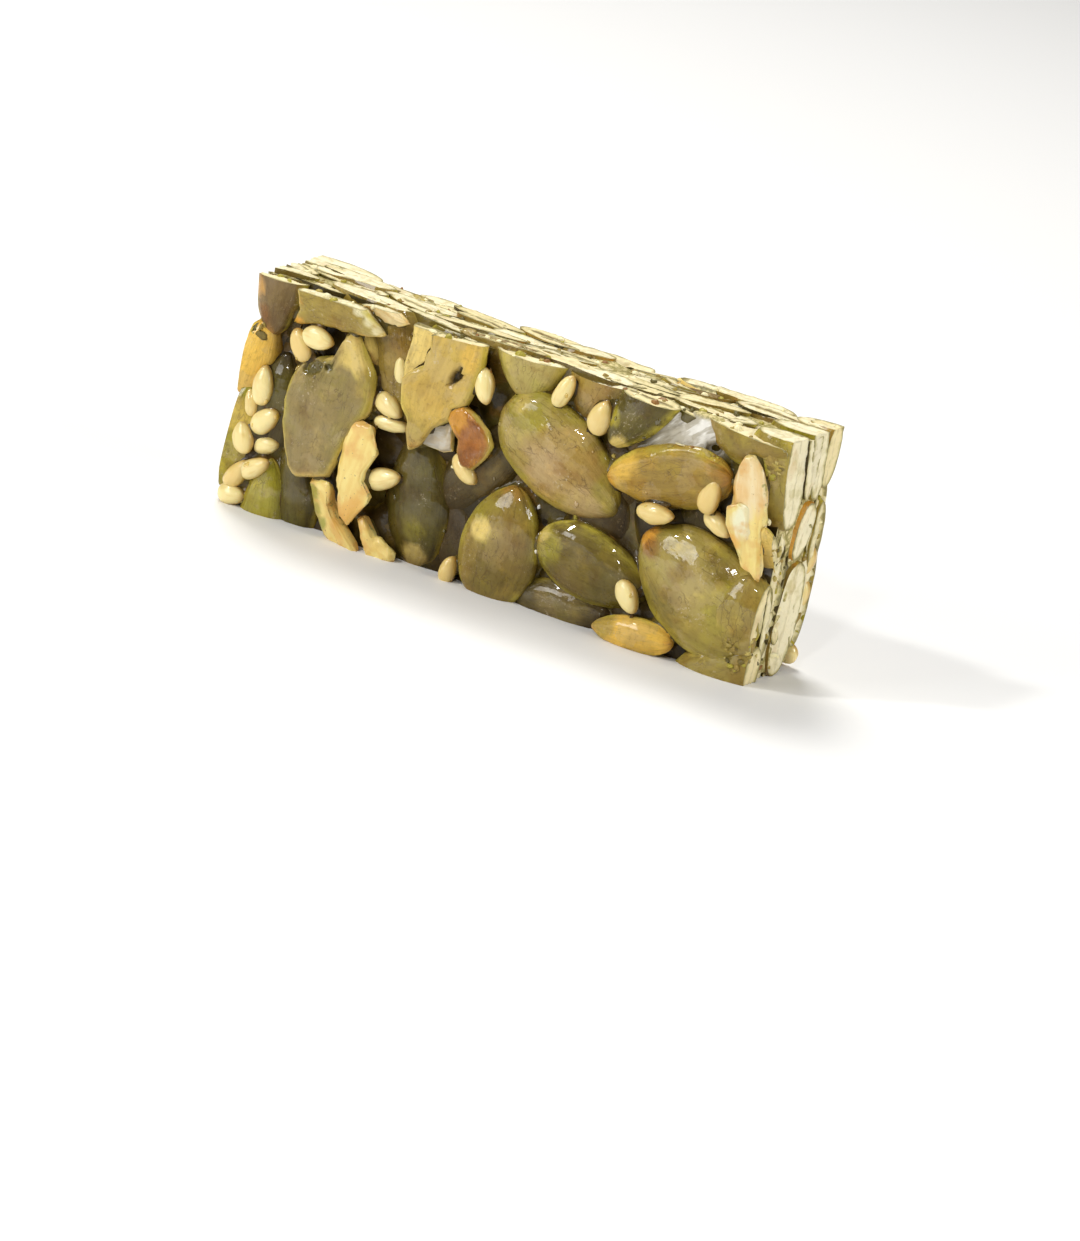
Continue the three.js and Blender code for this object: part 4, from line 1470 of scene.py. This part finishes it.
def fleshMaterial():
    look = {
        "cream": (0.82, 0.69, 0.37, 1),
        "pale": (0.85, 0.76, 0.50, 1),
        "green": (0.50, 0.42, 0.15, 1),
        "skin": (0.17, 0.145, 0.035, 1),
        "tan": (0.66, 0.50, 0.26, 1),
        "split": (0.40, 0.32, 0.13, 1),
        "apart": 60,
        "raggedRim": -0.35,
        "splitWander": 0.5,
        "splitAt": 0.32,  # mm off the plane where the halves meet
        "roughness": 0.62,
        "softness": 0.12,
        "depths": (0.9, 0.7, 0.4),
        "patterns": {
            "clouds": (0.8, 3.0, 0.6), "brown": (0.35, 3.0), "crumb": (3.4, 4.0, 0.7), "rim": (1.6, 3.0),
            "split": (0.9, 2.0), "fine": (9.0, 3.0),
        },
        "steps": {
            "seeds": (0.2, 0.8), "clouds": (0.48, 0.72, 0.0, 0.6), "brown": (0.58, 0.72, 0.0, 0.6),
            "crumb": (0.55, 0.75, 0.0, 0.45), "greenRim": (0.32, -0.05, 0.0, 0.7),
            "skinRim": (0.05, -0.14, 0.0, 0.9), "split": (0.12, 0.02, 0.0, 0.35),
        },
        "reliefs": {"crumb": (0.06, 0.9), "fine": (0.02, 0.8)},
    }
    material, tree, shader = newMaterial("kernel_flesh")
    pattern, share, relief = readLook(tree, look)
    chance = reading(tree, "seedChance", "Fac")
    own = shifted(tree, inMillimetres(tree), chance, look["apart"])
    crumb = pattern("crumb", own)
    ragged = plus(tree, reading(tree, "cutDepth", "Fac"), times(tree, pattern("rim", own), look["raggedRim"]))
    colour = blended(tree, share("seeds", chance), look["cream"], look["pale"])
    colour = blended(tree, share("clouds", pattern("clouds", own)), colour, look["green"])
    colour = blended(tree, share("brown", pattern("brown", own)), colour, look["tan"])
    colour = blended(tree, share("crumb", crumb), colour, look["green"])
    colour = blended(tree, share("greenRim", ragged), colour, look["green"])
    colour = blended(tree, share("skinRim", ragged), colour, look["skin"])
    wander = times(tree, pattern("split", own), look["splitWander"])
    off = plus(tree, reading(tree, "cutSplit", "Fac"), wander)
    split = share("split", sizeOf(tree, minus(tree, off, look["splitAt"])))
    put(tree, shader.inputs["Base Color"], blended(tree, split, colour, look["split"]))
    shader.inputs["Roughness"].default_value = look["roughness"]
    softened(shader, look["softness"], look["depths"])
    put(tree, shader.inputs["Normal"], relief("fine", pattern("fine", own), relief("crumb", crumb)))
    return material


def hollowMaterial():
    look = {
        "dark": (0.30, 0.20, 0.09, 1),
        "tan": (0.62, 0.50, 0.27, 1),
        "roughness": 0.55,
        "patterns": {"mottle": (1.6, 3.0), "grains": (4.0, 3.0)},
        "steps": {"mottle": (0.35, 0.65)},
        "reliefs": {"grains": (0.08, 1.0)},
    }
    material, tree, shader = newMaterial("kernel_hollow")
    pattern, share, relief = readLook(tree, look)
    space = inMillimetres(tree)
    colour = blended(tree, share("mottle", pattern("mottle", space)), look["dark"], look["tan"])
    put(tree, shader.inputs["Base Color"], colour)
    shader.inputs["Roughness"].default_value = look["roughness"]
    put(tree, shader.inputs["Normal"], relief("grains", pattern("grains", space)))
    return material


def bareMaterial():
    look = {
        "pale": (1.06, 1.18, 1.45, 1),  # multiplies the tone
        "orange": (0.70, 0.37, 0.07, 1),
        "greenSkin": (0.30, 0.27, 0.06, 1),
        "brown": (0.26, 0.13, 0.05, 1),
        "rimShare": 0.12,
        "rimFall": 0.3,
        "softness": 0.1,
        "depths": (0.8, 0.6, 0.3),
        "coat": 0.7,
        "coatRoughness": 0.10,
        "patterns": {
            "clouds": (1.1, 3.0), "warm": (0.5, 3.0), "skinBits": (1.3, 4.0, 0.6), "specks": (3.2, 2.0),
            "ridges": (1.0, 4.0, 0.6), "fine": (5.0, 3.0),
        },
        "steps": {
            "clouds": (0.42, 0.62, 0.0, 0.9), "ends": (0.55, 1.0, 0.0, 0.14), "warm": (0.48, 0.68),
            "warmByTone": (0.52, 0.6, 0.0, 0.75), "skinBits": (0.60, 0.70, 0.0, 0.8),
            "specks": (0.68, 0.74, 0.0, 0.7), "roughness": (0.35, 0.65, 0.35, 0.6),
        },
        "reliefs": {"ridges": (0.08, 0.8), "fine": (0.02, 0.7)},
    }
    material, tree, shader = newMaterial("peeled_kernel")
    pattern, share, relief = readLook(tree, look)
    place = reading(tree, "seedPlace", "Vector")
    tone = reading(tree, "seedTone", "Color")
    own = shifted(tree, place, reading(tree, "seedChance", "Fac"), apart)
    space = inMillimetres(tree)
    onSeed = separated(tree, place)
    clouds = pattern("clouds", stretched(tree, own, (1.2, 2.0, 2.0)))
    colour = blended(tree, share("clouds", clouds), tone, tinted(tree, tone, look["pale"]))
    warm = share("warm", plus(tree, pattern("warm", space), share("ends", sizeOf(tree, onSeed["X"]))))
    colour = blended(tree, times(tree, warm, share("warmByTone", redOf(tree, tone))), colour, look["orange"])
    rim = minus(tree, look["rimShare"], times(tree, sizeOf(tree, onSeed["Z"]), look["rimFall"]))
    skinBits = plus(tree, pattern("skinBits", space), rim)
    colour = blended(tree, share("skinBits", skinBits), colour, look["greenSkin"])
    colour = blended(tree, share("specks", pattern("specks", space)), colour, look["brown"])
    put(tree, shader.inputs["Base Color"], colour)
    put(tree, shader.inputs["Roughness"], share("roughness", clouds))
    ridges = relief("ridges", pattern("ridges", stretched(tree, own, (2.0, 9.0, 9.0))))
    put(tree, shader.inputs["Normal"], relief("fine", pattern("fine", space), ridges))
    softened(shader, look["softness"], look["depths"])
    glazed(shader, look["coat"], look["coatRoughness"])
    return material


def sesameMaterial():
    look = {
        "ivory": (0.85, 0.71, 0.31, 1),
        "beige": (0.72, 0.50, 0.14, 1),
        # painted shade at the rims of the seeds
        "amber": (0.56, 0.33, 0.065, 1),
        "tip": (0.48, 0.26, 0.05, 1),
        "softness": 0.2,
        "depths": (0.7, 0.5, 0.3),
        "coat": 0.7,
        "coatRoughness": 0.12,
        "patterns": {"veins": (1.0, 2.0), "flush": (0.55, 2.0), "dull": (1.5, 2.0), "fine": (3.0, 3.0)},
        "steps": {
            "seeds": (0.3, 1.0, 0.0, 0.8), "veins": (0.5, 0.75, 0.0, 0.5), "rim": (0.72, 0.0, 0.0, 0.85),
            "flush": (0.50, 0.68, 0.0, 0.45), "tip": (0.72, 1.0, 0.0, 0.55), "dull": (0.3, 0.7, 0.34, 0.5),
        },
        "reliefs": {"fine": (0.05, 0.6)},
    }
    material, tree, shader = newMaterial("sesame_seed")
    pattern, share, relief = readLook(tree, look)
    place = reading(tree, "seedPlace", "Vector")
    chance = reading(tree, "seedChance", "Fac")
    own = shifted(tree, place, chance, apart)
    space = inMillimetres(tree)
    onSeed = separated(tree, place)
    colour = blended(tree, share("seeds", chance), look["ivory"], look["beige"])
    veins = pattern("veins", stretched(tree, own, (0.9, 3.0, 3.0)))
    colour = blended(tree, share("veins", veins), colour, look["beige"])
    # painted shade: darker amber towards each seed's rim, where it curves away
    colour = blended(tree, share("rim", sizeOf(tree, onSeed["Z"])), colour, look["amber"])
    colour = blended(tree, share("flush", pattern("flush", space)), colour, look["beige"])
    colour = blended(tree, share("tip", onSeed["X"]), colour, look["tip"])
    put(tree, shader.inputs["Base Color"], colour)
    put(tree, shader.inputs["Roughness"], share("dull", pattern("dull", space)))
    softened(shader, look["softness"], look["depths"])
    glazed(shader, look["coat"], look["coatRoughness"])
    put(tree, shader.inputs["Normal"], relief("fine", pattern("fine", space)))
    return material


def syrupMaterial():
    look = {
        "deep": (0.042, 0.026, 0.006, 1),
        "amber": (0.17, 0.090, 0.016, 1),
        "olive": (0.105, 0.080, 0.016, 1),
        "film": (0.46, 0.42, 0.33, 1),
        # painted highlight: pale streaks across the syrup film
        "paintedFilmHighlight": (0.76, 0.73, 0.65, 1),
        "crumbs": (0.66, 0.56, 0.27, 1),  # these stop the gaps in the cuts
        "paste": (0.33, 0.28, 0.09, 1),
        "filmRadius": 4.6,
        "filmCore": 0.55,  # share of the radius where the film is whole
        "roughInCut": 0.4,
        "specular": 0.12,
        "coatRoughness": 0.05,
        "patterns": {
            "depth": (0.35, 3.0), "amber": (0.8, 3.0), "streaks": (1.0, 3.0), "crumbs": (2.6, 3.0, 0.6),
            "rough": (1.2, 2.0), "lumps": (1.4, 3.0),
        },
        "steps": {
            "depth": (0.38, 0.62), "amber": (0.5, 0.7, 0.0, 0.8), "streaks": (0.34, 0.46, 0.6, 1.0),
            "paintedHighlightStreaks": (0.5, 0.6), "inCut": (0.9, 0.3), "crumbs": (0.42, 0.6),
            "rough": (0.35, 0.65, 0.16, 0.34), "coat": (0.0, 1.0, 0.28, 0.0),
        },
        "reliefs": {"lumps": (0.15, 0.7), "crumbs": (0.12, 0.5)},
    }
    material, tree, shader = newMaterial("set_syrup")
    pattern, share, relief = readLook(tree, look)
    space = inMillimetres(tree)
    colour = blended(tree, share("depth", pattern("depth", space)), look["deep"], look["olive"])
    colour = blended(tree, share("amber", pattern("amber", space)), colour, look["amber"])
    x, z, filmDepth, _, _, turn, _ = syrupForm["films"][0]
    away = tree.nodes.new("ShaderNodeVectorMath")
    away.operation = "DISTANCE"
    put(tree, away.inputs[0], space)
    away.inputs[1].default_value = (x, -bar["thickness"] / 2 + filmDepth, z)
    radius = look["filmRadius"]
    film = stepped(tree, away.outputs["Value"], radius, radius * look["filmCore"])
    slant = tree.nodes.new("ShaderNodeVectorRotate")
    slant.rotation_type = "Y_AXIS"
    slant.inputs["Angle"].default_value = math.radians(turn)
    put(tree, slant.inputs["Vector"], space)
    streaks = pattern("streaks", stretched(tree, slant.outputs[0], (0.35, 1.0, 1.6)))
    film = times(tree, film, share("streaks", streaks))
    # painted highlight: the paler streaks of the film
    filmAndPaintedHighlight = blended(tree, share("paintedHighlightStreaks", streaks), look["film"], look["paintedFilmHighlight"])
    colour = blended(tree, film, colour, filmAndPaintedHighlight)
    onBar, endGap, topGap = cutGaps(tree, space)
    inCut = share("inCut", least(tree, least(tree, endGap, topGap), onBar["Z"]))
    crumbs = pattern("crumbs", space)
    packed = blended(tree, share("crumbs", crumbs), look["paste"], look["crumbs"])
    put(tree, shader.inputs["Base Color"], blended(tree, inCut, colour, packed))
    rough = share("rough", pattern("rough", space))
    put(tree, shader.inputs["Roughness"], plus(tree, rough, times(tree, inCut, look["roughInCut"])))
    shader.inputs["Specular IOR Level"].default_value = look["specular"]
    put(tree, shader.inputs["Coat Weight"], share("coat", inCut))
    shader.inputs["Coat Roughness"].default_value = look["coatRoughness"]
    lumps = relief("lumps", pattern("lumps", space))
    put(tree, shader.inputs["Normal"], relief("crumbs", crumbs, lumps))
    return material


def bitMaterial(name, look):  # for small bits that take the tone of their own kernel
    material, tree, shader = newMaterial(name)
    pattern, share, relief = readLook(tree, look)
    tone = reading(tree, "seedTone", "Color")
    space = inMillimetres(tree)
    colour = blended(tree, share("tint", pattern("tint", space)), tone, tinted(tree, tone, look["tint"]))
    put(tree, shader.inputs["Base Color"], colour)
    put(tree, shader.inputs["Roughness"], share("dull", pattern("dull", space)))
    put(tree, shader.inputs["Normal"], relief("fine", pattern("fine", space)))
    if "coat" in look:
        glazed(shader, look["coat"], look["coatRoughness"])
    return material


def dropMaterial():
    return bitMaterial("syrup_drops", {
        "tint": (0.75, 0.70, 0.55, 1),  # multiplies the tone
        "coat": 1.0,
        "coatRoughness": 0.03,
        "patterns": {"tint": (1.5, 2.0), "dull": (2.0, 2.0), "fine": (2.5, 2.0)},
        "steps": {"tint": (0.35, 0.65), "dull": (0.3, 0.7, 0.06, 0.16)},
        "reliefs": {"fine": (0.03, 0.6)},
    })


def crumbMaterial():
    return bitMaterial("crumbs", {
        "tint": (1.25, 1.25, 1.15, 1),  # multiplies the tone
        "patterns": {"tint": (3.0, 3.0), "dull": (2.0, 2.0), "fine": (6.0, 3.0)},
        "steps": {"tint": (0.4, 0.65), "dull": (0.35, 0.65, 0.45, 0.75)},
        "reliefs": {"fine": (0.06, 0.8)},
    })


skin, flesh, hollowInside = skinMaterial(), fleshMaterial(), hollowMaterial()
bare, sesame, syrup, crumbly = bareMaterial(), sesameMaterial(), syrupMaterial(), crumbMaterial()


# Making the pieces


def makeRolled(name, materials, *groups):
    whole = startMesh()
    for far in (False, True):
        for rows, group, ends, form in groups:
            rolledFace(whole, rows, firstNumbers[group][far], far, kernelForm[ends], form)
    return finishKind(name, whole, materials)


def makeSesame():
    whole = startMesh()
    for far in (False, True):
        sesameFace(whole, firstNumbers["sesame"][far], far)
    return finishKind("sesame_seeds", whole, [sesame, flesh])


def makeInner():
    whole = startMesh()
    endSections(whole, firstNumbers["end"])
    innerLayers(whole, firstNumbers["inner"])
    return finishKind("inner_kernels", whole, [skin, flesh, hollowInside])


def makeThin():
    whole = startMesh()
    fillBetween(whole, firstNumbers["thin"])
    return finishKind("thin_kernels", whole, [skin, flesh, hollowInside])


seedPieces = [
    makeRolled(
        "rolled_kernels", [skin, flesh, hollowInside],
        (rolledKernels, "rolled", "ends", wholeSurface), (deeperKernels, "deeper", "ends", wholeSurface),
    ),
    makeRolled(
        "broken_flakes", [skin, flesh, hollowInside], (brokenFlakes, "flakes", "flakeEnds", flakeSurface),
    ),
    makeRolled("peeled_kernels", [bare, flesh, hollowInside], (bareKernels, "bare", "ends", bareSurface)),
    makeInner(),
    makeThin(),
    makeSesame(),
]
syrupPiece = pourSyrup(seedPieces, syrup)
surface, surfaceTree = surfaceOf(seedPieces + [syrupPiece])
scatterCrumbs(surfaceTree, crumbly)
scatterDrops(surface, surfaceTree, dropMaterial())
surface.free()

# Floor, light and camera


def makeFloor():
    look = {
        "size": 3.0,
        "pale": (0.86, 0.855, 0.84, 1),
        "faint": (0.80, 0.79, 0.77, 1),
        "roughness": 0.6,
        "patterns": {"faint": (0.01, 2.0)},
        "steps": {"faint": (0.3, 0.7, 0.0, 0.04)},
        "reliefs": {},
    }
    bm = bmesh.new()
    bmesh.ops.create_grid(bm, x_segments=2, y_segments=2, size=look["size"] / 2)
    mesh = bpy.data.meshes.new("floor")
    bm.to_mesh(mesh)
    bm.free()
    floor = bpy.data.objects.new("floor", mesh)
    bpy.context.scene.collection.objects.link(floor)
    material, tree, shader = newMaterial("pale_floor")
    pattern, share, _ = readLook(tree, look)
    faint = share("faint", pattern("faint", inMillimetres(tree)))
    put(tree, shader.inputs["Base Color"], blended(tree, faint, look["pale"], look["faint"]))
    shader.inputs["Roughness"].default_value = look["roughness"]
    mesh.materials.append(material)


def addSoftbox(name, place, size, power, colour):
    data = bpy.data.lights.new(name, "AREA")
    data.shape = "SQUARE"
    data.size = size
    data.energy = power
    data.color = colour
    light = bpy.data.objects.new(name, data)
    light.location = place
    aim = Vector((0, 0, bar["height"] / 2 * mm)) - light.location
    light.rotation_euler = aim.to_track_quat("-Z", "Y").to_euler()
    bpy.context.scene.collection.objects.link(light)


def lightRoom():
    room = {
        "surround": (1.0, 1.0, 1.0, 1),
        "strength": 0.06,
        "softboxes": [  # name, place in metres, size, power, colour
            ("key", (-0.25, 0.22, 0.55), 0.25, 3.25, (1.0, 0.99, 0.97)),
            ("right", (0.52, -0.02, 0.30), 0.20, 1.85, (1, 1, 1)),
            ("front", (-0.34, -0.36, 0.50), 0.06, 1.6, (1, 1, 1)),
            ("window", (-0.275, -0.43, 0.20), 0.22, 1.1, (1, 1, 1)),
            ("glint", (0.12, -0.50, 0.42), 0.04, 0.5, (1, 1, 1)),
        ],
    }
    world = bpy.data.worlds.new("room")
    bpy.context.scene.world = world
    world.use_nodes = True
    background = world.node_tree.nodes["Background"]
    background.inputs["Color"].default_value = room["surround"]
    background.inputs["Strength"].default_value = room["strength"]
    for softbox in room["softboxes"]:
        addSoftbox(*softbox)
    bpy.context.scene.view_settings.view_transform = "Standard"


def placeCamera():
    lens = {
        "focal": 135,
        "sensor": 36,
        "azimuth": 28.3,
        "elevation": 15.7,
        "roll": 10.6,
        "distance": 0.4189,
        "nearest": 0.01,
    }
    offCentre = {"right": 1.44 * mm, "down": 14.0 * mm}  # where the picture's middle falls beside the bar's
    azimuth, elevation, roll = (math.radians(lens[k]) for k in ("azimuth", "elevation", "roll"))
    back = Vector((
        math.sin(azimuth) * math.cos(elevation), -math.cos(azimuth) * math.cos(elevation), math.sin(elevation)
    ))
    middle = Vector((0, 0, bar["height"] / 2 * mm))
    right = (-back).cross(Vector((0, 0, 1))).normalized()
    up = right.cross(-back)
    rolledRight = right * math.cos(roll) + up * math.sin(roll)
    rolledUp = up * math.cos(roll) - right * math.sin(roll)
    place = middle + back * lens["distance"]
    aim = middle + rolledRight * offCentre["right"] - rolledUp * offCentre["down"]
    backward = (place - aim).normalized()
    sideways = (rolledRight - backward * rolledRight.dot(backward)).normalized()
    upright = backward.cross(sideways)
    camera = bpy.data.objects.new("camera", bpy.data.cameras.new("camera"))
    facing = Matrix((sideways, upright, backward)).transposed().to_4x4()
    camera.matrix_world = Matrix.Translation(place) @ facing
    camera.data.lens = lens["focal"]
    camera.data.sensor_width = lens["sensor"]
    camera.data.clip_start = lens["nearest"]
    bpy.context.scene.collection.objects.link(camera)
    bpy.context.scene.camera = camera


makeFloor()
lightRoom()
placeCamera()
print("floor, light and camera are set")
